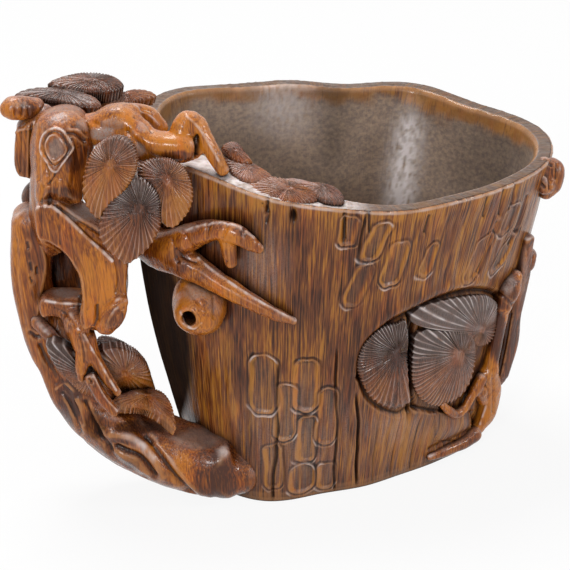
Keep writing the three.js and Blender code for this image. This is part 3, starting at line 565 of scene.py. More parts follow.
def relief(angle, share, spots):
    """Height, tone, painted shade and dark tone, dust and painted sheen, grey, painted shadow of the dark
    side, and painted highlights of the outer wall.
    """
    deg = np.degrees((angle + PI) % (2 * PI) - PI)
    height = 0.26 * noise(spots, (2.4, 2.4, 60), 2) + 0.1 * noise(spots, (0.8, 0.8, 30), 2)
    height += 0.5 * noise(spots, (13, 13, 26)) * smooth(share, 0.02, 0.3) * smooth(-share, -0.99, -0.9)
    tone = np.full(angle.shape, 0.5)
    painted_shade_and_dark, dust, grey, painted_highlight = (np.zeros(angle.shape) for _ in range(4))
    for a0, s0, half, long, lean in SCALES:
        centre = wall(a0, s0)
        reach = math.hypot(centre[0] - MIDDLE_X * s0, centre[1] - MIDDLE_Y * s0)
        du = (deg - a0 + 180) % 360 - 180
        v = (share - s0) * float(around(HIGH, math.radians(a0)))
        near = (np.abs(du) * PI / 180 * reach < half + 4) & (np.abs(v) < long + 4)
        here, v = spots[near], v[near]
        u = du[near] * PI / 180 * reach - v / (2 * long) * math.radians(lean) * reach
        u = u + 0.45 * noise(here, (2.6, 2.6, 5))
        v = v + 0.8 * noise(here + a0, (1.8, 1.8, 6))
        d = np.hypot(u, np.maximum(np.abs(v) - (long - half), 0)) - half
        upper = smooth(v, long - 0.9 * half, long - 0.35 * half)
        lower = smooth(-v, long - 0.6 * half, long - 0.15 * half)
        sides = (1 - upper) * (1 - lower)
        left = smooth(-u, -0.3 * half, 0.5 * half)
        faint = 0.75 if s0 > 0.6 else 1.0
        worn = faint * np.clip(0.85 + 0.6 * noise(here + a0, (4, 4, 7)), 0.3, 1.2)
        broken = worn * np.clip(0.4 + 2.8 * noise(here + 5 * a0, (2.2, 2.2, 3)), 0, 1.6)
        brow = 0.2 * upper * (bell(d, 0.3) - bell(d - 0.7, 0.4))
        sill = lower * (0.3 * bell(d - 0.9, 0.3) - 0.3 * bell(d - 0.4, 0.25))
        height[near] += worn * (0.16 * bell(d, 0.3) + brow + sill - 0.6 * smooth(-d, 0.1, 1.2))
        # Painted light: the inner slopes of each scale are paler, the left ones most, and the groove just
        # outside is darker as painted shade.
        slope = bell(d + 0.45, 0.4) * sides * (0.3 + 0.35 * left)
        tone[near] += worn * (slope - 0.1 * smooth(-d, 0.8, 1.5) - 0.2 * bell(d - 0.4, 0.3))
        # Painted shade in the groove round each scale and faintly inside it; painted highlights on its upper
        # and lower lips; painted sheen low in the hollow.
        border = 0.5 * bell(d - 0.4, 0.28) * (1 - 0.75 * lower) * (1 - 0.6 * left * sides)
        lips = 0.42 * bell(d + 0.05, 0.2) * upper + 0.36 * bell(d - 0.9, 0.22) * lower
        for mark, amount in (
            (painted_shade_and_dark, worn * (border + 0.1 * smooth(-d, 0.9, 1.6))),
            (grey, 0.14 * worn * smooth(-d, 0.8, 1.5)),
            (dust, worn * lower * 0.55 * bell(d + 0.85, 0.55)),
            (painted_highlight, broken * lips),
        ):
            mark[near] = np.maximum(mark[near], amount)
    for at, st, ab, sb, depth, width in CRACKS:
        t = np.clip((st - share) / (st - sb), 0, 1)
        centre = at + (ab - at) * t
        u = (deg - centre) * PI / 180 * (36 + 8 * share) + 0.5 * noise(spots, (50, 50, 7))
        fade = smooth(share, sb - 0.05, sb + 0.02) * smooth(-share, -st - 0.03, -st + 0.04)
        cut = bell(u, width) * fade
        height -= depth * cut
        # Painted shade in the cracks.
        painted_shade_and_dark = np.maximum(painted_shade_and_dark, 0.7 * cut * min(depth, 1))
    pit = bell(np.hypot((deg + 127.5) * 0.8, (share - 0.962) * 40), 0.9)
    height -= 1.6 * pit
    # Painted shade in the pit.
    painted_shade_and_dark = np.maximum(painted_shade_and_dark, 0.8 * pit)

    x, y = seen(wall_at(angle, share, height))
    facing = smooth(np.cos(angle) * FRONT[0] + np.sin(angle) * FRONT[1], 0.0, 0.12)
    height += stroke_lift(x, y, facing, WALL_STROKES)
    ring = curve(HOLLOW, closed=True)
    near = (facing > 0) & (x > 340) & (y > 270) & (y < 440)
    depth = off_line(x[near], y[near], np.concatenate([ring, ring[:1]])) * DOT
    depth = np.where(inside_of(x[near], y[near], ring), depth, -depth)
    height[near] -= 0.6 * smooth(depth, -0.3, 0.6)
    # Painted shade in the hollow round the wall's fans, darkest just inside its edge.
    painted_shade_and_dark[near] = np.maximum(painted_shade_and_dark[near], 0.55 * bell(depth - 0.4, 0.5) + 0.3 * smooth(depth, 0, 1))
    for amount, *place in TONES:
        tone += amount * patch(x, y, *place) * facing
    # Painted shadow on the side turned towards the handle: left of this line as seen from the front, and round
    # the back behind it; it darkens and greys the wall.
    dusky = np.interp(y, [240, 275, 300, 345, 380, 420], [158, 172, 182, 189, 190, 182])
    shadow = smooth(dusky - x, -9, 4) * (deg < -110) + (deg > 150) * smooth(deg, 150, 160)
    shadow = np.clip(shadow, 0, 1) * smooth(-share, -0.86, -0.78)
    # Painted sheen in broad patches, laid on with the pale dust colour.
    sheen = np.zeros(angle.shape)
    for amount, *place in SHEENS:
        sheen = np.maximum(sheen, amount * patch(x, y, *place) * facing)
    dust = np.maximum(dust, sheen * np.clip(0.6 + 0.9 * noise(spots, (0.9, 0.9, 30), 2), 0, 1))
    return height, np.clip(tone, 0, 1), painted_shade_and_dark, dust, np.maximum(grey, 0.2 * shadow), shadow, painted_highlight


# Radius of the rim's rounded edges, and the height that turns shares of the wall near it into millimetres.
EDGE = 0.6
NEAR_HIGH = 86


def rounding(share):
    """How far the wall draws in where the rim's edge is rounded."""
    drop = np.maximum(EDGE - (1 - share) * NEAR_HIGH, 0)
    return EDGE - np.sqrt(np.maximum(EDGE**2 - drop**2, 0))


def cup_body():
    across = np.radians(np.linspace(-180, 180, 1441)[:-1])
    dense = 1 + 1.7 * smooth(np.degrees(across), -165, -150) * smooth(-np.degrees(across), 25, 40)
    total = np.concatenate([[0], np.cumsum(dense)])
    count = 660
    angle = np.interp(np.arange(count) / count * total[-1], total, np.linspace(-PI, PI, 1441))
    rings, looks = [], []

    def add(points, *look):
        """Adds rings of points with their tone, painted shade and dark tone, grey, dust and painted sheen, and
        painted highlights.
        """
        points = points.reshape(-1, count, 3)
        rings.append(points)
        looks.append([np.broadcast_to(v, points.shape[:2]) for v in look])

    a, s = np.meshgrid(angle, np.linspace(0, 1, 300))
    base = wall_at(a, s)
    height, tone, painted_shade_and_dark, dust, grey, shadow, painted_highlight = relief(a, s, base)
    height *= smooth(s, -0.002, 0.02) * (1 - 0.6 * shadow)
    crumbs = np.clip(0.7 + 0.8 * noise(base, (3, 3, 20), 2), 0, 1)
    # Painted highlight along the rim's outer edge and a paler band just below it; the painted shadow of the
    # shaded side darkens the wall here.
    painted_highlight = np.maximum(painted_highlight, 0.4 * crumbs * bell((1 - s) * NEAR_HIGH - 0.45, 0.3))
    tone = tone + 0.12 * smooth(s, 0.95, 0.985)
    add(wall_at(a, s, height - rounding(s)), tone, np.maximum(painted_shade_and_dark, 0.93 * shadow), grey, dust, painted_highlight)

    thick, place = around(THICK, angle), np.degrees(angle)
    faced = smooth(place, -176, -165) * smooth(-place, 96, 112)
    for e in np.linspace(0, 1, 18)[1:-1]:
        ring = wall_at(angle, 1.0, -(EDGE + (thick - 2 * EDGE) * (0.5 - 0.5 * np.cos(PI * e))))
        ring[:, 2] += 0.2 * noise(ring, (1.1, 1.1, 5), 2) + 0.12 * math.sin(PI * e)
        facet = faced * smooth(e, 0.02, 0.1)
        plain = 1 - facet
        streaks, flecks = noise(ring, (5, 5, 5), 2), noise(ring, (0.9, 0.9, 5), 3)
        # The rim's top is darker, with a dark line near the facet's inner edge; its grey is painted sheen, the
        # facet is whitened by painted sheen on dust, and the lines at both edges are painted highlights.
        painted_shade_and_dark = (0.4 + 0.3 * bell(e - 0.1, 0.08) + 0.2 * streaks) * plain + 0.6 * bell(e - 0.06, 0.05) * facet
        grey = 0.45 * smooth(e, 0.05, 0.2) * plain + 0.75 * facet
        dust = np.clip(0.95 + 0.5 * flecks, 0, 1) * facet + 0.05 * plain
        lines = 0.5 * bell(e - 0.02, 0.05) + 0.3 * bell(e - 0.9, 0.08)
        crisp = lines * np.clip(0.6 + 1.2 * flecks, 0, 1) * plain
        facet_sheen = np.clip(0.42 + 0.9 * flecks, 0, 0.9) * facet * math.sin(PI * e) ** 0.5
        add(ring, 0.42 + 0.4 * streaks, np.clip(painted_shade_and_dark, 0, 1), grey, dust, facet_sheen + crisp)

    a, s = np.meshgrid(angle, np.linspace(1, 0.16, 110))
    place, bowl = np.degrees(a), wall_at(a, s)
    taper = 9 * 1.6 * np.exp(-5.59 * (s - 0.16))
    crease = 0.9 * bell(place - 42, 6) * smooth(s, 0.2, 0.6) * smooth(-s, -1.0, -0.93)
    inset = around(THICK, a) + taper - rounding(s) + 0.12 * noise(bowl, (5, 5, 30), 2) + crease
    drift, patchy = noise(bowl, (14, 14, 8), 2), noise(bowl, (5, 5, 3), 3)
    # Amber near the rim: the horn's own colour, and painted glow of light through the thin rim.
    amber = smooth(s + 0.05 * drift + 0.03 * patchy, 0.92, 0.975)
    # Painted shade deep in the bowl and in two upright bands of the inner wall.
    shade = 0.25 * smooth(-s, -0.5, -0.2) + 0.5 * bell(place - 2, 22) * (1 - amber)
    shade += 0.35 * bell(place - 72, 8) * smooth(s, 0.6, 0.8)
    painted_shade_and_dark = shade + 0.05 + 0.15 * drift + 0.2 * amber * smooth(patchy, 0.0, 0.2)
    # Painted highlights: a patch high on the far wall, and a bright streak down the inner fold.
    dust = 0.3 * bell(place - 95, 16) * smooth(s, 0.75, 0.9) + 0.12 * patchy
    fold = bell(place - 42, 5) * smooth(s, 0.25, 0.5) * smooth(-s, -0.97, -0.85)
    speckle = np.clip(0.75 + noise(bowl, (0.8, 0.8, 1.2), 2), 0, 1)
    painted_highlight = (fold * (1.2 + 0.6 * drift) + 0.35 * bell(place - 95, 14) * smooth(s, 0.8, 0.93)) * speckle
    painted_highlight += 0.05 * (1 - amber)
    tone = 0.42 + 0.5 * amber + (0.2 + 0.4 * amber) * patchy
    look = (np.clip(v, 0, 1) for v in (painted_shade_and_dark, 0.97 - 0.75 * amber, dust, painted_highlight))
    add(wall_at(a, s, -inset), tone, *look)

    last = rings[-1][-1]
    hub = np.array([MIDDLE_X * 0.14, MIDDLE_Y * 0.14, 14.0])
    for e in np.linspace(1, 0.02, 16)[1:]:
        ring = hub + (last - hub) * e
        ring[:, 2] = hub[2] + (last[:, 2] - hub[2]) * e**2.2
        add(ring, 0.5, 0.3, 0.9, 0.1, 0.0)
    levels = sum(map(len, rings))
    for e in (0.6, 0.02):
        add(rings[0][0] * [e, e, 1], 0.4, 0.2, 0.3, 0.0, 0.0)

    points = np.concatenate([np.concatenate(rings).reshape(-1, 3), [hub, np.zeros(3)]])
    pairs = [(r, r + 1) for r in range(levels - 1)] + [(levels, 0), (levels + 1, levels)]
    quads = np.concatenate([band(low, high, count) for low, high in pairs])
    under = cap(levels + 1, len(points) - 1, count)[:, ::-1]
    faces = [quads, np.concatenate([cap(levels - 1, len(points) - 2, count), under])]
    columns = (np.concatenate([look[k] for look in looks]).ravel() for k in range(5))
    tone, painted_shade_and_dark, grey, dust, painted_highlight = (np.concatenate([v, v[-1:], v[-1:]]) for v in columns)
    flat = np.clip((TALL - points[:, 2]) / 60, 0, 1) ** 0.5
    marks = {
        "tone": tone, "painted_shade_and_dark": painted_shade_and_dark, "grey": np.clip(grey, 0, 1), "dust": dust, "painted_highlight": painted_highlight,
        "fine": proud(points, faces, 5), "broad": flat * proud(points, faces, 40),
    }
    add_object("cup_body_horn", points, faces, marks, BARK, ["cup_body"])


cup_body()

# Fans of needles


def needle_fan(
    name, at, facing, outline, thick=2.6, ribs=50, dome=1.0, tone=0.5, dust=0.0, seed=0, bend=None
):
    """A fan of ribs. outline gives its reach from the hub all round: an array of points in its own plane."""
    n = unit(facing)
    u = unit(np.cross((0, 0, 1), n)) if abs(n[2]) < 0.95 else unit(RIGHT - (RIGHT @ n) * n)
    v = np.cross(n, u)
    rng = np.random.default_rng(seed)
    count = ribs * 8
    turn = np.arange(count) * 2 * PI / count
    flat = np.stack([(outline - at) @ u, (outline - at) @ v], -1)
    bearing = np.arctan2(flat[:, 1], flat[:, 0])
    order = np.argsort(bearing)
    reach = np.interp(turn, bearing[order], np.hypot(*flat[order].T), period=2 * PI)
    size = reach.mean()
    wave = sum(rng.uniform(-1, 1) * np.sin(k * turn + rng.uniform(0, 6)) for k in (2, 3, 5)) / 3
    comb = (0.5 + 0.5 * np.cos(turn * ribs)) ** 2.2
    strength = np.interp(turn, np.linspace(0, 2 * PI, ribs + 1), rng.uniform(0.55, 1.15, ribs + 1))
    slip = np.interp(turn, np.linspace(0, 2 * PI, ribs + 1), np.append(rng.uniform(-1, 1, ribs), 0))
    runs = ((0.015, 0.12, 5), (0.16, 0.86, 20), (0.9, 1.0, 7))
    shares = np.concatenate([np.linspace(*run) for run in runs])
    rings, cut = [], []
    for share in shares:
        deep = smooth(share, 0.06, 0.35) * (0.7 + 0.3 * share) * size / 10
        edge = min(max(share - 0.84, 0) / 0.16, 0.985)
        dent = 0.35 * math.exp(-((share / 0.09) ** 2))
        lift = dome * (1 - share**1.8) - dent - 0.9 * (1 - math.sqrt(1 - edge**2))
        lift = lift - 0.34 * deep * (1 - comb) * strength + 0.3 * wave * share**2
        rings.append(((reach - 0.2 * (1 - comb) * share) * share, lift, share))
        cut.append((comb * 1.5 - 0.75) * strength * deep)
    for t in np.linspace(0, 1, 7)[1:]:
        lift = (1 - t) * 0.3 * wave - 0.9 - (thick - 0.9) * t
        rings.append((reach - 0.45 * (1 - comb) * strength - 0.3 * t, lift, 1.0))
        cut.append((comb * 1.5 - 0.75) * strength)
    for share in (0.93, 0.6, 0.03):
        rings.append(((reach - 0.6) * share, np.full(count, -thick), share))
        cut.append(np.zeros(count))
    points = []
    for out, height, share in rings:
        swirl = turn + slip * 0.05 * math.sin(PI * share) + 0.1 * share * wave
        points.append(
            at + (out * np.cos(swirl))[:, None] * u + (out * np.sin(swirl))[:, None] * v + height[:, None] * n
        )
    grid = np.concatenate(points)
    grid = np.concatenate([grid, grid[:count].mean(0)[None], grid[-count:].mean(0)[None]])
    if bend is not None:
        grid += bend(grid)[:, None] * n
    last = len(rings) - 1
    quads = [band(r + 1, r, count) for r in range(last)]
    ends = [cap(0, len(grid) - 2, count), cap(last, len(grid) - 1, count)[:, [1, 0, 2]]]
    faces = [np.concatenate(quads), np.concatenate(ends)]
    fine = 0.15 * np.concatenate([np.concatenate(cut), [0.05, 0]])
    upright = math.hypot(n[0], n[1])
    low = np.clip((at - grid)[:, 2] / size, -1, 1) * upright
    top = normals_of(grid, faces)[:, 2]
    patchy = np.clip(0.5 + noise(grid, (2.5, 2.5, 2.5), 2), 0, 1)
    # Painted highlights on the rib crests, stronger on the upper part; grey on the upper part of upright fans
    # is painted sheen, and faces turned upward take dust and painted sheen.
    lit = smooth(fine, 0.01, 0.1) * (0.25 + 0.5 * smooth(-low, -0.3, 0.7)) * patchy
    marks = {
        "fine": fine, "broad": 0.0, "tone": tone + 0.12 * noise(grid, (6, 6, 6)) + 0.25 * low,
        "grey": 0.22 * upright * smooth(-low, -0.15, 0.5),
        "painted_shade_and_dark": 0.0, "dust": np.clip(dust + 0.25 * smooth(top, 0.5, 1.0) * patchy, 0, 1), "painted_highlight": 0.85 * lit,
    }
    add_object(name + "_cut", grid, faces, marks, NEEDLES, [name])


def seen_fan(name, hub, depth, facing, outline, **options):
    """A fan whose hub and outline are given as they are seen from the front."""
    at = spot(*hub, depth)
    n = unit(facing)
    ring = curve(outline, closed=True, each=8)
    needle_fan(name, at, n, on_plane(ring[:, 0], ring[:, 1], at, n), **options)


def round_fan(name, deg, share, out, radius, **options):
    at, n = wall(deg, share, out + 1.4), wall_normal(deg, share)
    u = unit(np.cross((0, 0, 1), n))
    turn = np.linspace(0, 2 * PI, 49)[:-1, None]
    reach = radius * (1 + 0.05 * np.sin(3 * turn + deg))
    ring = at + reach * (np.cos(turn) * u + np.sin(turn) * np.cross(n, u))
    needle_fan(name, at - 0.25 * radius * u, n, ring, **options)


def cup_fan(name, hub, out, outline, **options):
    """A fan lying against the cup's wall and bent with it."""
    at, n = on_cup(*hub, out)
    ring = curve(outline, closed=True, each=8)
    turn, share = np.meshgrid(np.radians(np.linspace(-125, 0, 60)), np.linspace(0.15, 0.85, 30))
    near = (wall_at(turn, share, out) - at).reshape(-1, 3)
    near = near[np.linalg.norm(near, axis=1) < 16]
    across = unit(np.cross((0, 0, 1), n))
    upward = np.cross(n, across)

    def terms(p):
        u, v = p @ across, p @ upward
        return np.stack([u * 0 + 1, u, v, u * u, u * v, v * v], -1)

    fit = np.linalg.lstsq(terms(near), near @ n, rcond=None)[0]
    ring = on_plane(ring[:, 0], ring[:, 1], at, n)
    needle_fan(name, at, n, ring, bend=lambda p: 0.8 * (terms(p - at) @ fit), **options)


FLAT = (0.05, -0.12, 0.99)
seen_fan("front_fan_upper", (114, 163), 70, (-0.62, -0.75, 0.2),
         [(114, 135), (127, 139), (134, 150), (136, 165), (131, 180), (122, 195), (112, 209), (100, 221),
          (90, 215),
          (82, 202), (80, 188), (83, 170), (89, 154), (99, 142)], dome=2.2, tone=0.55, seed=1)
seen_fan("front_fan_right", (167, 178), 65, (-0.25, -0.85, 0.3),
         [(137, 168), (142, 162), (155, 157), (170, 158), (182, 165), (190, 178), (194, 194), (191, 209),
          (183, 220),
          (173, 228), (163, 226), (155, 214), (146, 198), (138, 184)], dome=1.4, tone=0.58, seed=2)
seen_fan("front_fan_lower", (139, 207), 66.5, (-0.15, -0.95, 0.15),
         [(133, 174), (143, 178), (153, 187), (160, 198), (163, 212), (160, 228), (153, 244), (143, 256),
          (127, 265),
          (116, 259), (105, 248), (99, 234), (102, 218), (108, 204), (116, 192), (126, 181)], dome=1.6,
          tone=0.32, seed=3)
seen_fan("top_fan_high", (93, 83), 43, FLAT,
         [(48, 81), (60, 76), (75, 73), (92, 71), (108, 73), (118, 77), (124, 83), (122, 87), (112, 90),
          (95, 91),
          (78, 89), (62, 86), (52, 84)], thick=4.0, tone=0.3, seed=4)
seen_fan("top_fan_left", (62, 94), 47, (-0.02, -0.14, 0.98),
         [(14, 94), (22, 89), (40, 87), (60, 87), (80, 91), (97, 96), (102, 103), (90, 107), (70, 104),
          (45, 99),
          (25, 97)], thick=2.0, tone=0.32, seed=5)
seen_fan("top_fan_under", (60, 105), 47.5, (-0.02, -0.14, 0.98),
         [(18, 100), (40, 96), (70, 98), (92, 105), (94, 111), (78, 112), (52, 109), (30, 106)], thick=2.6,
         tone=0.55, seed=6)
seen_fan("top_fan_rim", (125, 96), 39, (0.05, -0.18, 0.97),
         [(94, 107), (101, 101), (117, 94), (135, 89), (150, 90), (157, 94), (151, 98), (132, 102),
          (113, 107),
          (100, 111)], thick=2.6, tone=0.5, ribs=38, seed=7)
seen_fan("low_fan_right", (124, 369), 35, (-0.1, -0.85, -0.38),
         [(99, 354), (112, 350), (127, 352), (139, 358), (148, 369), (154, 383), (158, 395), (154, 401),
          (142, 400),
          (128, 397), (117, 391), (108, 379), (101, 366)], thick=3.4, dome=1.3, tone=0.66, ribs=38, seed=8)
seen_fan("low_fan_left", (90, 374), 38, (-0.28, -0.86, -0.34),
         [(45, 348), (55, 345), (68, 350), (80, 357), (96, 368), (108, 384), (116, 401), (117, 412),
          (110, 417),
          (97, 408), (81, 396), (67, 381), (54, 365)], thick=3.2, tone=0.4, seed=9)
seen_fan("low_fan_under", (146, 398), 31, (0.12, -0.36, 0.93),
         [(113, 397), (126, 391), (145, 387), (162, 391), (172, 402), (177, 418), (177, 427), (168, 419),
          (155, 411),
          (140, 406), (125, 405), (115, 402)], thick=3.4, tone=0.55, seed=10)
seen_fan("low_fan_back", (114, 345), 27, (0.1, -0.35, 0.93),
         [(99, 335), (112, 336), (126, 342), (138, 351), (144, 359), (133, 358), (118, 353), (104, 350),
          (96, 345)],
         thick=3.0, tone=0.35, ribs=34, seed=11)
seen_fan("rim_fan_small", (234, 151), 52.5, (-0.15, -0.45, 0.87),
         [(221, 147), (228, 141), (238, 142), (246, 152), (252, 162), (243, 164), (230, 158)], thick=2.0,
         ribs=28, seed=12)
seen_fan("rim_fan_left", (248, 169), 54.5, (0.05, -0.3, 0.94),
         [(223, 158), (232, 152), (248, 160), (263, 168), (273, 177), (262, 182), (245, 181), (231, 172)],
         thick=2.2,
         tone=0.45, dust=0.1, ribs=34, seed=13)
seen_fan("rim_fan_middle", (288, 190), 58, (-0.03, -0.3, 0.95),
         [(233, 175), (243, 171), (262, 173), (285, 178), (303, 184), (316, 191), (319, 197), (312, 201),
          (295, 203),
          (275, 201), (257, 195), (243, 186)], thick=2.2, seed=14)
seen_fan("rim_fan_right", (322, 190), 56, (0.0, -0.22, 0.97),
         [(274, 180), (290, 177), (306, 181), (325, 183), (338, 188), (345, 197), (341, 202), (325, 201),
          (312, 196),
          (298, 188), (284, 183)], thick=2.2, tone=0.42, dust=0.1, seed=15)
cup_fan("wall_fan_front", (395, 349), 1.2,
         [(361, 373), (364, 355), (372, 342), (384, 331), (397, 325), (407, 322), (409, 340), (408, 365),
          (409, 390),
          (410, 405), (398, 411), (384, 408), (370, 396)], thick=3.0, dome=0.6, tone=0.22, ribs=64, seed=16)
cup_fan("wall_fan_side", (457, 350), 1.3,
         [(421, 340), (431, 334), (445, 333), (459, 329), (470, 333), (477, 345), (478, 362), (475, 380),
          (467, 395),
          (453, 405), (438, 408), (425, 403), (417, 388), (417, 368), (419, 352)], thick=3.0, dome=0.7,
          tone=0.34, dust=0.1, ribs=64, seed=17)
cup_fan("wall_fan_upper", (478, 328), 0.9,
         [(421, 332), (430, 318), (448, 306), (468, 298), (488, 297), (500, 305), (504, 318), (500, 335),
          (489, 346),
          (470, 346), (450, 336), (435, 336)], thick=3.0, dome=0.5, tone=0.4, dust=0.15, ribs=64, seed=18)
round_fan("back_fan_left", 141, 0.54, 1.0, 10.4, seed=19)
round_fan("back_fan_middle", 117, 0.49, 0.9, 10.8, seed=20)
round_fan("back_fan_upper", 108, 0.82, 0.9, 9.6, seed=21)
round_fan("back_fan_right", 92, 0.53, 0.7, 9.4, seed=22)

# Branches, sculpted as distance fields so that limbs and plates run into each other smoothly


def curve_of(stations, pitch=0.9):
    """Centripetal spline through (point, radius) stations: points and radii about pitch apart."""
    p = [np.asarray(s[0], float) for s in stations]
    r = [s[1] for s in stations]
    p = [2 * p[0] - p[1]] + p + [2 * p[-1] - p[-2]]
    points, radii = [], []
    for k in range(1, len(p) - 2):
        a, b, c, d = p[k - 1], p[k], p[k + 1], p[k + 2]
        t0, t1, t2 = (max(np.linalg.norm(m - n), 1e-4) ** 0.5 for m, n in ((b, a), (c, b), (d, c)))
        m1 = ((b - a) / t0 - (c - a) / (t0 + t1) + (c - b) / t1) * t1
        m2 = ((c - b) / t1 - (d - b) / (t1 + t2) + (d - c) / t2) * t1
        count = max(int(np.linalg.norm(c - b) / pitch), 2)
        t = np.arange(count + (k == len(p) - 3)) / count
        t3 = t[:, None]
        points.append(b + m1 * t3 + (-3 * b + 3 * c - 2 * m1 - m2) * t3**2 + (2 * b - 2 * c + m1 + m2) * t3**3)
        radii.append(r[k - 1] + (r[k] - r[k - 1]) * t * t * (3 - 2 * t))
    return np.concatenate(points), np.concatenate(radii)


def window_of(grid, low, step, least, most):
    lo = np.clip(np.floor((least - low) / step).astype(int), 0, grid)
    hi = np.clip(np.ceil((most - low) / step).astype(int) + 1, 0, grid)
    return tuple(slice(p, q) for p, q in zip(lo, hi))


def axes_of(window, low, step):
    x, y, z = (low[c] + step * np.arange(window[c].start, window[c].stop) for c in range(3))
    return x[:, None, None], y[None, :, None], z[None, None, :]


def limb_field(grid, low, step, stations, wide=None, ratio=1.0, power=2.0, flutes=None, **_):
    """Distance to a limb through stations.

    Across wide it is ratio times as broad, with corners by power. flutes: (count, depth, twist).
    """
    points, radii = curve_of(stations)
    length = np.concatenate([[0], np.cumsum(np.linalg.norm(np.diff(points, axis=0), axis=1))])
    tangent = np.gradient(points, axis=0)
    tangent /= np.linalg.norm(tangent, axis=1, keepdims=True)
    side = np.zeros_like(points)
    first = np.asarray(wide if wide is not None else (0.3, -0.9, 0.2), float)
    for k in range(len(points)):
        base = first if wide is not None or k == 0 else side[k - 1]
        side[k] = unit(base - np.dot(base, tangent[k]) * tangent[k])
    over = np.cross(tangent, side)
    field = np.full(grid, 9.0, np.float32)
    run = np.zeros(grid, np.float32)
    for k in range(len(points) - 1):
        a, b = points[k], points[k + 1]
        reach = max(radii[k], radii[k + 1]) * max(ratio, 1) + 3
        window = window_of(grid, low, step, np.minimum(a, b) - reach, np.maximum(a, b) + reach)
        x, y, z = axes_of(window, low, step)
        x, y, z = x - a[0], y - a[1], z - a[2]
        ab = b - a
        t = np.clip((x * ab[0] + y * ab[1] + z * ab[2]) / np.dot(ab, ab), 0, 1)
        x, y, z = x - t * ab[0], y - t * ab[1], z - t * ab[2]
        far = x * x + y * y + z * z
        if ratio == 1.0 and power == 2.0:
            far = np.sqrt(far)
        else:
            w = x * side[k][0] + y * side[k][1] + z * side[k][2]
            h = x * over[k][0] + y * over[k][1] + z * over[k][2]
            past = np.maximum(far - w * w - h * h, 0)
            far = ((np.abs(w) / ratio) ** power + np.abs(h) ** power + past ** (power / 2)) ** (1 / power)
        d = far - (radii[k] + (radii[k + 1] - radii[k]) * t)
        old = field[window]
        nearer = d < old
        old[nearer] = d[nearer]
        run[window][nearer] = (length[k] + (length[k + 1] - length[k]) * t)[nearer]
    if flutes:
        count, depth, twist = flutes
        close = np.abs(field) < 2.5
        p = low + step * np.argwhere(close)
        s = run[close]
        centre, across, up = (
            np.stack([np.interp(s, length, v[:, c]) for c in range(3)], -1) for v in (points, side, over)
        )
        q = p - centre
        turn = np.arctan2((q * up).sum(-1), (q * across).sum(-1))
        phase = turn * count + twist * s + 2.2 * noise(np.stack([s, turn, turn * 0], -1), (9, 1.6, 1), 2)
        ends = smooth(s, 0, 3) * smooth(length[-1] - s, 0, 3)
        field[close] += depth * ends * (0.5 - 0.5 * np.cos(phase)) ** 2.5
    return field


GROUND_GAP = 0.02


def plate_ring(outline, at, facing=FRONT, **_):
    ring = curve(outline, closed=True, each=5)
    point, n = spot(*at), unit(facing)
    return on_plane(ring[:, 0], ring[:, 1], point, n), point, n


def plate_field(grid, low, step, outline, at, facing=FRONT, thick=8.0, round=1.2, swell=0.0, **_):
    """Distance to a plate. Its front face passes through the seen point at; its outline is given as seen."""
    ring, point, n = plate_ring(outline, at, facing)
    u = unit(np.cross((0, 0, 1), n))
    v = np.cross(n, u)
    flat = np.stack([(ring - point) @ u, (ring - point) @ v], -1)
    pitch, pad = 0.25, 4.0
    corner = flat.min(0) - pad
    shape = np.ceil((flat.max(0) + pad - corner) / pitch).astype(int) + 1
    gx, gy = np.meshgrid(*(corner[k] + pitch * np.arange(shape[k]) for k in range(2)), indexing="ij")
    edge = off_line(gx, gy, np.concatenate([flat, flat[:1]]))
    edge = np.where(inside_of(gx, gy, flat), -edge, edge)
    reach = np.concatenate([ring, ring - thick * n])
    window = window_of(grid, low, step, reach.min(0) - pad, reach.max(0) + pad)
    x, y, z = axes_of(window, low, step)
    x, y, z = x - point[0], y - point[1], z - point[2]
    a = np.clip((x * u[0] + y * u[1] + z * u[2] - corner[0]) / pitch, 0, shape[0] - 1.001)
    b = np.clip((x * v[0] + y * v[1] + z * v[2] - corner[1]) / pitch, 0, shape[1] - 1.001)
    c = x * n[0] + y * n[1] + z * n[2]
    i, j = a.astype(int), b.astype(int)
    a, b = a - i, b - j
    near, next_row = (edge[i, k] * (1 - a) + edge[i + 1, k] * a for k in (j, j + 1))
    d = near * (1 - b) + next_row * b
    c = np.abs(c + thick / 2) - thick / 2 - swell * smooth(-d, 0, 5) * (c > -thick / 2)
    p, q = d + round, c + round
    field = np.full(grid, 9.0, np.float32)
    outside = np.hypot(np.maximum(p, 0), np.maximum(q, 0))
    field[window] = np.minimum(np.maximum(p, q), 0) + outside - round
    return field


def melt(a, b, blend):
    """Joins two distance fields, smoothly over blend."""
    h = np.clip(0.5 + 0.5 * (b - a) / blend, 0, 1)
    return b + (a - b) * h - blend * h * (1 - h)


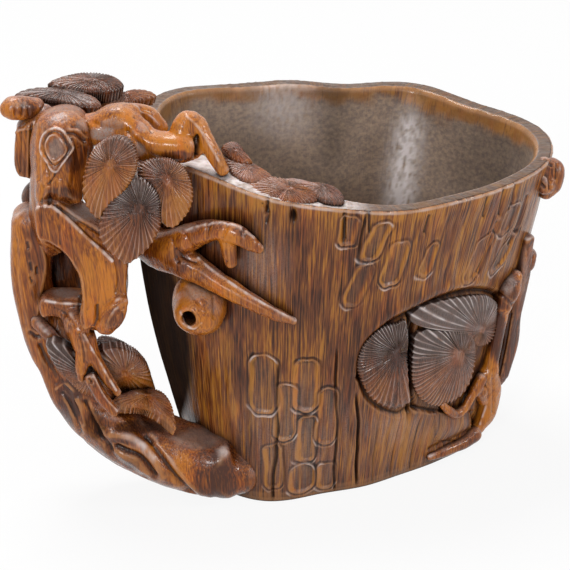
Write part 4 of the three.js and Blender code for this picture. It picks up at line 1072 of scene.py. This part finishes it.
def surface(field, low, step):
    """Surface nets: one point for each cell that the surface crosses, one quad for each crossed edge."""
    inside = field < 0
    n = np.array(field.shape) - 1
    count = np.zeros(n, np.int8)
    for dx in (0, 1):
        for dy in (0, 1):
            for dz in (0, 1):
                count += inside[dx : dx + n[0], dy : dy + n[1], dz : dz + n[2]]
    cells = np.argwhere((count > 0) & (count < 8))
    number = np.full(n, -1, np.int32)
    number[tuple(cells.T)] = np.arange(len(cells))
    total, hits = np.zeros((len(cells), 3)), np.zeros(len(cells))
    for axis in range(3):
        for da in (0, 1):
            for db in (0, 1):
                start = np.zeros(3, int)
                others = [c for c in range(3) if c != axis]
                start[others[0]], start[others[1]] = da, db
                end = start.copy()
                end[axis] = 1
                fa = field[tuple((cells + start).T)]
                fb = field[tuple((cells + end).T)]
                cross = (fa < 0) != (fb < 0)
                t = np.where(cross, fa / np.where(cross, fa - fb, 1), 0)
                place = np.broadcast_to(start.astype(float), (len(cells), 3)).copy()
                place[:, axis] = t
                total += place * cross[:, None]
                hits += cross
    points = low + step * (cells + total / hits[:, None])
    quads = []
    for axis in range(3):
        others = [c for c in range(3) if c != axis]
        front = [slice(1, -1)] * 3
        front[axis] = slice(0, -1)
        back = list(front)
        back[axis] = slice(1, None)
        a, b = inside[tuple(front)], inside[tuple(back)]
        for way in (True, False):
            where = np.argwhere(a & ~b if way else ~a & b)
            if not len(where):
                continue
            cell = where + 1
            cell[:, axis] -= 1
            corner = []
            for da, db in ((0, 0), (1, 0), (1, 1), (0, 1)):
                c = cell.copy()
                c[:, others[0]] -= da
                c[:, others[1]] -= db
                corner.append(number[tuple(c.T)])
            quad = np.stack(corner, -1)
            quads.append(quad if way == (axis != 1) else quad[:, ::-1])
    return points, np.concatenate(quads)


def sculpt(name, parts, stands_for, step=0.34, holes=(), strokes=(), stains=(), tone=0.5, painted_shade_and_dark=0.0):
    """Joins limbs and plates into one smooth piece, bores the holes and carves the strokes."""
    reach = []
    for part in parts:
        if "outline" in part:
            ring, _, n = plate_ring(**part)
            reach += [ring, ring - part.get("thick", 8.0) * n]
        else:
            wide = max(part.get("ratio", 1), 1)
            reach += [np.array([p + way * r * wide for p, r in part["stations"]]) for way in (-1, 1)]
    reach = np.concatenate(reach)
    low = reach.min(0) - 2
    grid = tuple(np.ceil((reach.max(0) + 2 - low) / step).astype(int) + 1)
    field = None
    for part in parts:
        one = (plate_field if "outline" in part else limb_field)(grid, low, step, **part)
        field = one if field is None else melt(field, one, part.get("blend", 1.2))
    for hole in holes:
        field = -melt(-field, limb_field(grid, low, step, **hole), 0.5)
    points, quads = surface(field, low, step)
    faces = [quads]
    points = spread(points, edges_of(faces), 2, keep=0.4)
    normal = normals_of(points, faces)
    fibres, waves = 0.04 * noise(points, (0.8, 0.8, 14), 2), 0.14 * noise(points, (3.2, 3.2, 8))
    rough = fibres + waves + 0.03 * noise(points, (1.3, 1.3, 1.3), 2)
    points = points + normal * rough[:, None]
    marks = {
        "tone": tone + 0.14 * noise(points, (7, 7, 12), 2),
        "grey": np.zeros(len(points)),
        "painted_shade_and_dark": np.full(len(points), float(painted_shade_and_dark)),
        # Dust and painted sheen on the faces turned upward.
        "dust": 0.25 * smooth(normal[:, 2], 0.55, 1.0) * (1 + noise(points, (3, 3, 3), 2)),
    }
    points = cut_lines(points, normal, marks, strokes, stains)
    points[:, 2] = np.maximum(points[:, 2], GROUND_GAP)
    marks["fine"] = proud(points, faces, 4)
    marks["broad"] = proud(points, faces, 24)
    # Painted highlights on the crests that face upward.
    crest = smooth(marks["broad"], 0.1, 0.5) * smooth(normal[:, 2], 0.0, 0.6)
    patchy = np.clip(0.5 + noise(points, (1.5, 1.5, 3), 2), 0, 1)
    marks["painted_highlight"] = np.maximum(marks["painted_highlight"], 0.65 * crest * patchy)
    add_object(name, points, faces, marks, BRANCH, stands_for)


def limb(*stations, **options):
    return dict(stations=list(stations), **options)


def seen_limb(*stations, **options):
    """A limb through stations (x, y, depth, radius) given as they are seen from the front."""
    return dict(stations=[(spot(x, y, depth), r) for x, y, depth, r in stations], **options)


def plate(outline, at, **options):
    """A plate with its outline in dots, whose front passes through the seen point at: x, y, depth."""
    return dict(outline=outline, at=at, **options)


def strands(stations, **options):
    """Three thinner limbs wound round one another."""
    limbs = []
    for s in range(3):
        wound = []
        for k, (p, r) in enumerate(stations):
            turn = s * 2 * PI / 3 + k * 2.2 / len(stations)
            swing = np.array([0.3 * math.cos(turn), 0.5 * math.sin(turn), 0.3 * math.cos(turn)])
            wound.append((np.asarray(p) + swing * r, r * 0.72))
        limbs.append(dict(stations=wound, **options))
    return limbs


sculpt(
    "root_trunk_carved",
    strands(
        [
            (wall(-148, 0.085, -3.6), 7.2), (trunk(35, -15, 0.104), 8.4), (trunk(25.5, -10.5, 0.143), 8.8),
            (trunk(17.6, -7, 0.22), 8.4), (trunk(10.8, -4, 0.32), 7.4), (trunk(5.6, -1.5, 0.43), 6),
            (trunk(1.8, 0, 0.56), 5), (trunk(0.4, 1, 0.69), 5.2), (trunk(1, 1, 0.78), 4.6),
        ],
        flutes=(3, 0.8, 0.05),
        blend=2.2,
    )
    + [
        plate([(12, 220), (20, 214), (32, 211), (42, 216), (48, 240), (51, 262), (47, 290), (41, 300),
               (39, 328),
               (46, 345), (54, 358), (60, 378), (52, 384), (36, 368), (26, 348), (19, 322), (13, 290),
               (10, 258),
               (10, 228)], (28, 270, 43.6), thick=9, round=2.2, swell=1.2),
        plate([(60, 394), (72, 402), (90, 420), (110, 429), (130, 433), (150, 437), (176, 441), (205, 452),
               (228, 456),
               (234, 499), (200, 498), (170, 491), (145, 482), (121, 469), (100, 455), (84, 440), (70, 424)],
              (143, 443, 28.5), facing=FRONT - 0.1 * RIGHT, thick=11, round=2.6, swell=1.6, blend=2),
    ],
    ["root_trunk"],
    step=0.4,
    tone=0.47,
    strokes=[
        (0.5, 0.4, [(27, 243), (28, 248)]), (0.6, 0.4, [(30, 264), (31, 270)]),
        (0.5, 0.4, [(30, 278), (32, 282)]),
        (0.5, 0.4, [(37, 268), (37, 273)]), (0.35, 0.6, [(16, 240), (17, 280), (24, 325)]),
        (0.7, 0.5, [(30, 333), (38, 337), (46, 331)]),
        (-0.4, 0.6, [(41, 246), (45, 264), (41, 292), (36, 320)]),
        (0.5, 0.6, [(40, 345), (48, 362), (60, 380), (76, 396)]),
        (-0.5, 0.6, [(57, 388), (64, 384), (72, 391), (80, 406), (85, 424)]),
        (0.7, 0.6, [(62, 393), (70, 404), (76, 418), (80, 433)]),
        (1.0, 0.8, [(85, 402), (92, 421), (102, 437), (110, 450)]),
        (-0.4, 0.8, [(103, 428), (105, 441), (112, 453), (126, 465), (140, 474)]),
        (-0.8, 1.3, [(111, 434), (125, 436), (137, 441), (148, 450), (156, 462), (163, 476)]),
        (1.2, 0.8, [(117, 447), (127, 451), (138, 455), (147, 464), (155, 475)]),
        (-0.3, 0.8, [(114, 449), (124, 457), (135, 463), (147, 474)]),
        (0.7, 0.8, [(108, 447), (118, 460), (132, 469), (146, 479)]),
        (1.2, 0.9, [(147, 437), (157, 450), (166, 462), (176, 476), (187, 489), (194, 496)]),
        (-0.6, 1.1, [(155, 446), (165, 457), (175, 469), (185, 480), (197, 490), (210, 496)]),
    ],
    # Among these stains, painted shadows under the low fans.
    stains=[
        ("tone", 0.2, 140, 448, 16, 6), ("tone", 0.25, 182, 472, 14, 22), ("tone", -0.15, 120, 455, 30, 22),
        ("tone", -0.2, 222, 478, 14, 30),
        ("tone", -0.3, 70, 400, 12, 26), ("tone", -0.35, 60, 360, 10, 12), ("painted_shade_and_dark", 0.5, 95, 425, 12, 18),
        ("painted_shade_and_dark", 0.7, 140, 427, 34, 8), ("tone", 0.2, 18, 250, 8, 40), ("grey", 0.6, 200, 438, 24, 12),
    ],
)
SCAR = [(55, 128), (63, 131), (69, 140), (73, 148), (68, 156), (62, 164), (56, 172), (50, 168), (46, 160),
        (40, 150),
        (41, 140), (46, 132), (55, 128)]
EYELET = [(52, 135), (57, 136), (63, 143), (66, 151), (61, 158), (55, 162), (51, 160), (47, 152), (46, 144),
          (49, 137), (52, 135)]
sculpt(
    "handle_knot_carved",
    [
        seen_limb((48, 238, 43, 4.4), (51, 208, 50, 5.0), (58, 176, 54, 6.2), (62, 144, 57, 7.2), power=2.5),
        plate([(36, 134), (36, 122), (46, 115), (62, 112), (77, 116), (86, 126), (88, 142), (86, 162),
               (83, 185), (80, 204),
               (66, 207), (50, 206), (35, 203), (34, 180), (36, 150)], (60, 165, 63.5),
              facing=FRONT + np.array([0, 0, 0.2]), thick=14, round=3.0, swell=2.2, blend=2.0),
        plate([(33, 196), (36, 175), (60, 170), (80, 176), (80, 204), (66, 212), (56, 226), (50, 243),
               (38, 241),
               (34, 222)], (50, 205, 56.5), thick=11, round=1.8, swell=0.8, blend=1.5),
        plate([(40, 207), (57, 203), (80, 218), (96, 227), (110, 237), (123, 254), (127, 270), (126, 288),
               (126, 303),
               (119, 316), (110, 328), (101, 332), (91, 331), (84, 333), (79, 322), (82, 300), (81, 283),
               (76, 270),
               (64, 254), (50, 244), (38, 240), (36, 222)], (90, 265, 55.6), thick=11, round=0.9, swell=0.9,
               blend=0.8),
        plate([(36, 208), (50, 206), (66, 218), (86, 237), (100, 249), (112, 260), (117, 275), (115, 292),
               (104, 306),
               (99, 324), (90, 328), (84, 330), (80, 320), (83, 300), (82, 283), (77, 270), (65, 254),
               (50, 243),
               (38, 239), (35, 222)], (90, 265, 57.3), thick=8, round=0.7, swell=0.6, blend=0.6),
        seen_limb((118, 303, 52.0, 2.2), (113, 314, 51.2, 2.8), (106, 324, 49.3, 2.4), power=3, blend=1.2),
        plate([(42, 300), (60, 299), (82, 301), (85, 320), (85, 336), (77, 338), (71, 327), (60, 320),
               (50, 318),
               (42, 319), (38, 310)], (65, 308, 46), facing=FRONT + np.array([0, 0, 0.1]), thick=10,
               round=1.5, swell=0.6),
        seen_limb((77, 322, 44.5, 3.4), (83, 338, 45, 3.0), (85, 350, 44, 2.3), (82, 366, 43, 1.6),
                  (81, 379, 42, 0.8), power=2.5, blend=0.8),
        seen_limb((84, 338, 45, 2.6), (90, 351, 44, 2.1), (98, 364, 42.6, 1.6), (108, 380, 41, 1.5),
                  (117, 392, 39, 1.0), power=2.5, blend=0.8),
        seen_limb((38, 322, 38, 1.8), (46, 331, 39.5, 1.7), (55, 340, 39.5, 1.4), power=2.5, blend=0.6),
    ],
    ["burl_column", "strap_branch", "bridge_branch", "forked_twig", "spur_twig"],
    step=0.3,
    tone=0.55,
    strokes=[
        (-0.4, 0.3, SCAR), (-0.35, 0.24, EYELET),
        (0.3, 0.35,
         [(54, 131), (61, 134), (66, 142), (69, 150), (64, 158), (56, 166), (50, 162), (44, 152), (43, 143),
          (48, 134), (54, 131)]),
        (0.35, 0.6, [(54, 142), (56, 156)]), (0.5, 0.4, [(56, 172), (53, 178), (47, 184)]),
        (0.5, 0.5, [(46, 165), (49, 182), (50, 203)]),
        (0.7, 0.6, [(68, 133), (76, 134), (85, 141)]), (0.5, 0.5, [(72, 126), (80, 127), (87, 134)]),
        (0.4, 0.8, [(79, 148), (77, 166), (72, 186)]),
        (0.4, 0.5, [(40, 128), (38, 150), (39, 180)]), (0.4, 0.5, [(43, 186), (41, 212), (42, 236)]),
        (-0.3, 0.6, [(60, 182), (58, 203)]),
        (0.5, 0.4, [(55, 205), (70, 216), (90, 228), (106, 239), (119, 253)]),
        (-0.45, 0.4, [(51, 206), (67, 218), (87, 238), (102, 251), (112, 261)]),
        (-0.35, 0.6, [(41, 242), (53, 247), (67, 258), (77, 271), (82, 284), (83, 298)]),
        (0.25, 0.4, [(70, 228), (73, 250), (84, 272), (87, 310)]),
        (0.2, 0.35, [(96, 252), (99, 285), (98, 320)]), (0.2, 0.35, [(106, 262), (108, 290)]),
        (0.25, 0.35, [(58, 214), (60, 244)]),
        (0.35, 0.6, [(103, 328), (106, 317), (112, 308), (122, 300)]),
        (0.25, 0.5, [(111, 322), (117, 313), (124, 308)]),
        (-0.35, 0.5, [(46, 301), (60, 303), (79, 304)]), (0.6, 0.45, [(81, 296), (80, 310), (82, 324)]),
        (0.35, 0.5, [(55, 308), (66, 314), (74, 326)]),
        (-0.4, 0.32, [(84, 334), (91, 348), (99, 361), (108, 377), (116, 390)]),
        (0.4, 0.35, [(79, 334), (83, 350), (84, 362)]),
        (0.5, 0.5, [(92, 330), (96, 320), (97, 306)]),
    ],
    stains=[
        ("grey", 0.8, 56, 149, 8, 12), ("dust", 0.8, 80, 212, 17, 9), ("dust", 0.7, 66, 293, 14, 5),
        ("tone", 0.2, 95, 285, 22, 45),
        ("tone", -0.3, 75, 148, 14, 26), ("tone", -0.25, 62, 196, 20, 9), ("tone", 0.15, 42, 165, 8, 40),
        ("tone", -0.25, 113, 318, 12, 12),
        ("dust", 0.5, 86, 124, 10, 8), ("tone", 0.12, 60, 180, 14, 8),
    ],
)
sculpt(
    "bark_slab_carved",
    [
        plate([(15, 131), (20, 128), (39, 125), (40, 178), (26, 179), (17, 176), (13, 162)], (25, 150, 53),
              facing=FRONT - 0.25 * RIGHT, thick=8, round=0.9, swell=0.4),
        seen_limb((27, 127, 51, 2.6), (34, 121, 52, 3.0), (44, 117, 53, 3.2)),
    ],
    ["bark_slab"],
    step=0.3,
    strokes=[
        (0.6, 0.4, [(31, 124), (31, 150), (30, 178)]), (0.35, 0.3, [(21, 132), (20, 172)]),
        (0.3, 0.3, [(26, 129), (25, 176)]),
        (0.5, 0.4, [(36, 128), (37, 178)]), (-0.3, 0.3, [(15, 133), (21, 130), (30, 129)]),
    ],
)
sculpt(
    "inner_bough_carved",
    [
        limb((trunk(6, 4, 0.86), 4.6), (trunk(11, 5, 0.74), 4.6), (trunk(10.4, 4, 0.62), 4.8),
             (trunk(7.6, 2.5, 0.5), 4.4),
             wide=RIGHT, ratio=1.3, flutes=(4, 0.5, 0.1)),
    ],
    ["inner_bough"],
    tone=0.3,
    painted_shade_and_dark=0.45,
)
sculpt(
    "finger_twig_carved",
    [seen_limb((91, 379, 42, 1.7), (101, 396, 40.5, 1.7), (113, 411, 38.5, 1.4), power=2.6)],
    ["finger_twig"],
    step=0.25,
    strokes=[(-0.3, 0.3, [(93, 375), (104, 396), (117, 411)]), (0.8, 0.5, [(89, 379), (91, 382)])],
)
sculpt(
    "crown_branch_carved",
    [
        seen_limb((84, 131, 57, 4.0), (100, 128, 58, 4.0), (118, 121, 59, 4.2), (132, 130, 59.5, 4.0),
                  (147, 143, 60, 3.7),
                  (165, 147, 60, 3.6), (181, 147, 60, 3.8), (190, 146, 59, 3.2), power=2.4),
        seen_limb((183, 146, 59, 3.2), (182, 132, 60.5, 2.7), (187, 121, 61, 2.3), (196, 125, 60.5, 2.5),
                  (204, 138, 60, 2.1),
                  (213, 153, 59, 1.8), (223, 170, 57.5, 1.5), power=2.4, blend=0.7),
        seen_limb((116, 118, 57, 3.4), (134, 114, 54, 2.7), (147, 117, 51.5, 2.6), (156, 127, 49, 2.6),
                  power=2.6, blend=0.8),
        seen_limb((122, 112, 58, 2.2), (132, 113, 58, 2.2), blend=0.8),
        seen_limb((135, 140, 61, 3.0), (140, 152, 60, 2.6), (150, 158, 58, 2.4), power=2.6, blend=0.8),
    ],
    ["crown_branch", "crown_stub"],
    step=0.28,
    tone=0.72,
    strokes=[
        (1.3, 0.6, [(196, 137), (198, 147), (197, 160)]),
        (0.6, 0.8, [(128, 132), (139, 143), (150, 155), (158, 160)]),
        (-0.3, 0.4, [(187, 117), (198, 127), (209, 144), (221, 165)]),
        (0.5, 0.4, [(135, 117), (145, 122), (152, 132)]),
        (-0.3, 0.35, [(140, 112), (150, 116), (159, 125)]), (0.35, 0.8, [(92, 122), (104, 128), (120, 130)]),
    ],
    # Among these stains, painted shade in the slit between the knee's two legs.
    stains=[
        ("dust", 0.9, 101, 134, 13, 7), ("dust", 0.5, 112, 125, 12, 6), ("dust", 0.6, 139, 151, 7, 8),
        ("tone", 0.25, 172, 140, 26, 10),
        ("tone", -0.4, 180, 156, 22, 6), ("painted_shade_and_dark", 0.6, 197, 152, 4, 10), ("tone", 0.2, 128, 116, 10, 8),
        ("tone", 0.2, 205, 145, 12, 26),
        ("dust", 0.5, 143, 127, 7, 6),
    ],
)
sculpt(
    "bough_tip_carved",
    [seen_limb((34, 108, 54, 2.6), (22, 108, 54.5, 3.0), (14, 108, 55, 3.0), (9, 109, 55, 2.3), power=2.3)],
    ["bough_tip"],
    step=0.25,
    tone=0.6,
    strokes=[(0.25, 0.3, [(16, 105), (15, 115)]), (0.3, 0.3, [(23, 101), (22, 115)]),
             (0.25, 0.4, [(28, 102), (29, 114)])],
    stains=[("tone", -0.25, 26, 110, 10, 10), ("dust", 0.35, 20, 104, 10, 4)],
)
sculpt(
    "fan_bough_carved",
    [limb((trunk(8, 1, 1.07), 4.4), (trunk(18, 6, 1.042), 4.2), (trunk(25, 9, 1.025), 4),
          (wall(168, 0.985, -3), 4),
          flutes=(3, 0.4, 0.1))],
    ["fan_bough"],
    tone=0.42,
)
sculpt(
    "forked_bough_carved",
    [
        seen_limb((150, 243, 40, 4.4), (168, 246, 45.5, 4.1), (185, 239, 50, 3.5), (203, 232, 54.5, 2.9),
                  (220, 230, 57.5, 2.4),
                  (236, 234, 58.5, 2.5), (250, 243, 58, 2.0), (258, 248, 57, 1.4), power=2.3),
        seen_limb((228, 234, 57, 2.4), (229, 249, 55, 1.9), (231, 262, 53.4, 1.5), power=2.4, blend=0.8),
        seen_limb((160, 248, 41.5, 4.8), (180, 259, 46, 3.9), (200, 271, 48.5, 3.0), (222, 285, 50, 2.5),
                  (250, 301, 50.5, 1.9),
                  (275, 314, 49.5, 1.5), (293, 321, 47.5, 0.9), power=2.8, blend=0.8),
    ],
    ["forked_bough"],
    step=0.28,
    tone=0.52,
    strokes=[
        (-0.4, 0.4, [(198, 258), (212, 270), (235, 286), (262, 303), (292, 319)]),
        (0.3, 0.5, [(195, 272), (225, 292), (262, 311)]),
        (0.4, 0.5, [(209, 223), (207, 236)]), (0.35, 0.5, [(228, 224), (223, 238)]),
        (0.4, 0.5, [(244, 229), (240, 242)]),
        (0.5, 0.5, [(184, 232), (190, 244), (198, 250)]),
        (-0.3, 0.5, [(182, 232), (200, 226), (220, 223), (238, 227), (254, 238)]),
        (0.5, 0.5, [(176, 250), (186, 258), (196, 262)]), (0.3, 0.3, [(226, 244), (227, 262)]),
        (0.4, 0.5, [(172, 240), (178, 262)]),
    ],
    stains=[
        ("tone", 0.25, 226, 240, 14, 12), ("tone", 0.2, 230, 288, 30, 16), ("tone", -0.25, 245, 232, 16, 6),
        ("dust", 0.4, 186, 228, 14, 5),
        ("tone", -0.2, 178, 262, 14, 14),
    ],
)
heart = wall(-158.5, 0.6, 0.4)
mouth = spot(190, 316, 47.5)
bore = heart + 0.52 * (mouth - heart)
sculpt(
    "hollow_burl_carved",
    [
        limb((wall(-157.5, 0.618, -1), 5.2), (heart, 6.2), (heart + 0.75 * (mouth - heart), 4.6)),
        seen_limb((194, 290, 42, 4.6), (203, 302, 43, 6.2), (203, 314, 44, 5.2), blend=2.5),
    ],
    ["hollow_burl"],
    holes=[limb((bore, 1.8), (2 * mouth - bore, 2.0))],
    step=0.25,
    tone=0.78,
    strokes=[(-0.35, 0.4, [(181, 312), (185, 324), (194, 328), (201, 323)]),
             (0.3, 0.6, [(186, 288), (196, 300), (206, 312)]),
             (0.35, 0.5, [(214, 298), (214, 318)])],
    # Painted shade in the mouth of the hole.
    stains=[("painted_shade_and_dark", 0.9, 191, 316, 5, 5), ("dust", 0.5, 196, 292, 14, 9), ("dust", 0.3, 214, 300, 10, 14),
            ("tone", 0.15, 184, 306, 8, 14)],
)
sculpt(
    "foot_root_carved",
    [seen_limb((430, 457, 5.0, 1.0), (447, 450, 1.8, 1.4), (462, 443, -1.4, 1.7), (473, 434, -4.2, 2.2),
               power=2.4)],
    ["foot_root"],
    step=0.25,
)
sculpt(
    "wall_twig_carved",
    [
        seen_limb((443, 405, 13.3, 1.0), (448, 410, 11.0, 1.2), (457, 414, 7.2, 1.2), (464, 408, 6.2, 1.1),
                  (470, 398, 6.4, 1.1),
                  (477, 386, 6.6, 1.6), (481, 378, 7.0, 1.6), power=2.3),
        seen_limb((480, 390, 3.9, 2.2), (483, 399, -0.5, 1.8)),
    ],
    ["wall_twig"],
    step=0.22,
    tone=0.6,
)
sculpt(
    "wall_branch_carved",
    [
        seen_limb((514, 277, 17.5, 2.0), (508, 289, 18.4, 3.0), (503, 303, 17, 2.4), power=2.4),
        seen_limb((503, 303, 17, 2.0), (497, 335, 10.7, 1.8), (489, 368, 5.9, 2.2)),
        seen_limb((488, 372, 5.3, 2.6), (489, 390, -0.9, 2.9), (485, 410, -4.9, 2.8), (478, 426, -5.1, 1.8),
                  power=3),
    ],
    ["wall_branch"],
    step=0.28,
    tone=0.75,
    strokes=[(0.5, 0.5, [(496, 292), (506, 299), (514, 306)]),
             (-0.3, 0.4, [(484, 374), (487, 400), (480, 424)]), (0.4, 0.4, [(493, 376), (493, 412)])],
    stains=[("tone", -0.5, 506, 290, 14, 22), ("tone", -0.6, 497, 335, 10, 34),
            ("dust", 0.5, 508, 284, 7, 12)],
)
sculpt(
    "side_branch_carved",
    [seen_limb((527, 240, 20.5, 1.6), (520, 280, 12, 2.0), (511, 312, 7.8, 2.4), (507, 340, 3, 2.6),
               (500, 370, 1, 2.2), (497, 379, 0.5, 1.6), power=4)],
    ["side_branch"],
    step=0.28,
    tone=0.42,
    strokes=[(0.4, 0.4, [(511, 314), (505, 345), (499, 376)])],
    stains=[("tone", -0.15, 508, 345, 14, 40), ("dust", 0.4, 520, 270, 8, 30)],
)
sculpt(
    "rim_knot_carved",
    [
        seen_limb((544, 166, 27, 2.4), (552, 171, 25, 3.2), (550, 183, 24, 3.2), (546, 191, 23.5, 2.2)),
        seen_limb((541, 177, 28, 2.0), (545, 185, 27, 2.4)),
    ],
    ["rim_knot"],
    step=0.25,
    tone=0.45,
    strokes=[(0.7, 0.45, [(541, 172), (549, 177), (550, 190)]), (0.5, 0.4, [(557, 164), (556, 178)]),
             (0.6, 0.4, [(538, 181), (544, 187)]),
             (0.5, 0.35, [(545, 160), (552, 166)])],
)
sculpt(
    "wall_knot_carved",
    [seen_limb((529, 255, 14, 2.0), (525, 263, 13.6, 2.6), (517, 271, 13.4, 1.6))],
    ["wall_knot"],
    step=0.25,
    tone=0.5,
)
sculpt(
    "back_bough_carved",
    [
        limb((wall(172, 0.76, 1.6), 4.2), (wall(158, 0.79, 2), 3.8), (wall(140, 0.72, 2), 3.4),
             (wall(124, 0.66, 2), 3),
             (wall(106, 0.69, 1.8), 2.4), (wall(94, 0.66, 1), 1.6), flutes=(3, 0.4, 0.06), power=2.4),
        limb((wall(141, 0.7, 2), 2.4), (wall(134, 0.58, 2), 2), (wall(131, 0.48, 1.4), 1.5)),
    ],
    ["back_bough", "back_twig"],
)

# Floor, light and camera

g = Graph(bpy.data.materials.new("studio_floor"))
matt = g.node("ShaderNodeBsdfDiffuse", {"Color": (0.8, 0.8, 0.8, 1)})
white = g.node("ShaderNodeEmission", {"Color": (1, 1, 1, 1), "Strength": 1.0})
shown = g.times(g.direct(), 0.9)
blend = g.node("ShaderNodeMixShader", {0: shown, 1: matt.outputs[0], 2: white.outputs[0]})
g.node("ShaderNodeOutputMaterial", {0: blend.outputs[0]})
floor_mesh = bpy.data.meshes.new("floor")
floor_mesh.from_pydata([(-4, -4, 0), (4, -4, 0), (4, 4, 0), (-4, 4, 0)], [], [(0, 1, 2, 3)])
floor_mesh.materials.append(g.holder)
floor = bpy.data.objects.new("floor", floor_mesh)
floor.location.z = -0.0002
bpy.context.scene.collection.objects.link(floor)

world = bpy.data.worlds.new("studio")
bpy.context.scene.world = world
g = Graph(world)
strength = g.span(g.direct(), 0.0, 1.0, 0.34, 1.0)
sky = g.node("ShaderNodeBackground", {"Color": (1, 1, 1, 1), "Strength": strength})
g.node("ShaderNodeOutputWorld", {0: sky.outputs[0]})


def softbox(name, place, aim, size, power):
    lamp = bpy.data.lights.new(name, "AREA")
    lamp.shape = "SQUARE"
    lamp.size = size
    lamp.energy = power
    holder = bpy.data.objects.new(name, lamp)
    holder.location = place
    holder.rotation_euler = (Vector(aim) - Vector(place)).to_track_quat("-Z", "Y").to_euler()
    bpy.context.scene.collection.objects.link(holder)


softbox("front_box", (-0.55, -0.75, 0.5), (0, 0, 0.05), 0.17, 3.6)
softbox("top_box", (-0.1, 0.25, 0.85), (0, 0, 0.05), 0.35, 6.0)
softbox("right_box", (0.8, -0.5, 0.45), (0, 0, 0.05), 0.16, 2.3)

lens = bpy.data.cameras.new("camera")
lens.sensor_width = 36
lens.lens = FOCAL * lens.sensor_width / PICTURE
lens.clip_start = 0.01
camera = bpy.data.objects.new("camera", lens)
camera.location = Vector(EYE * MM)
camera.rotation_euler = Vector(-BACK).to_track_quat("-Z", "Y").to_euler()
bpy.context.scene.collection.objects.link(camera)
bpy.context.scene.camera = camera
bpy.context.scene.view_settings.view_transform = "Standard"
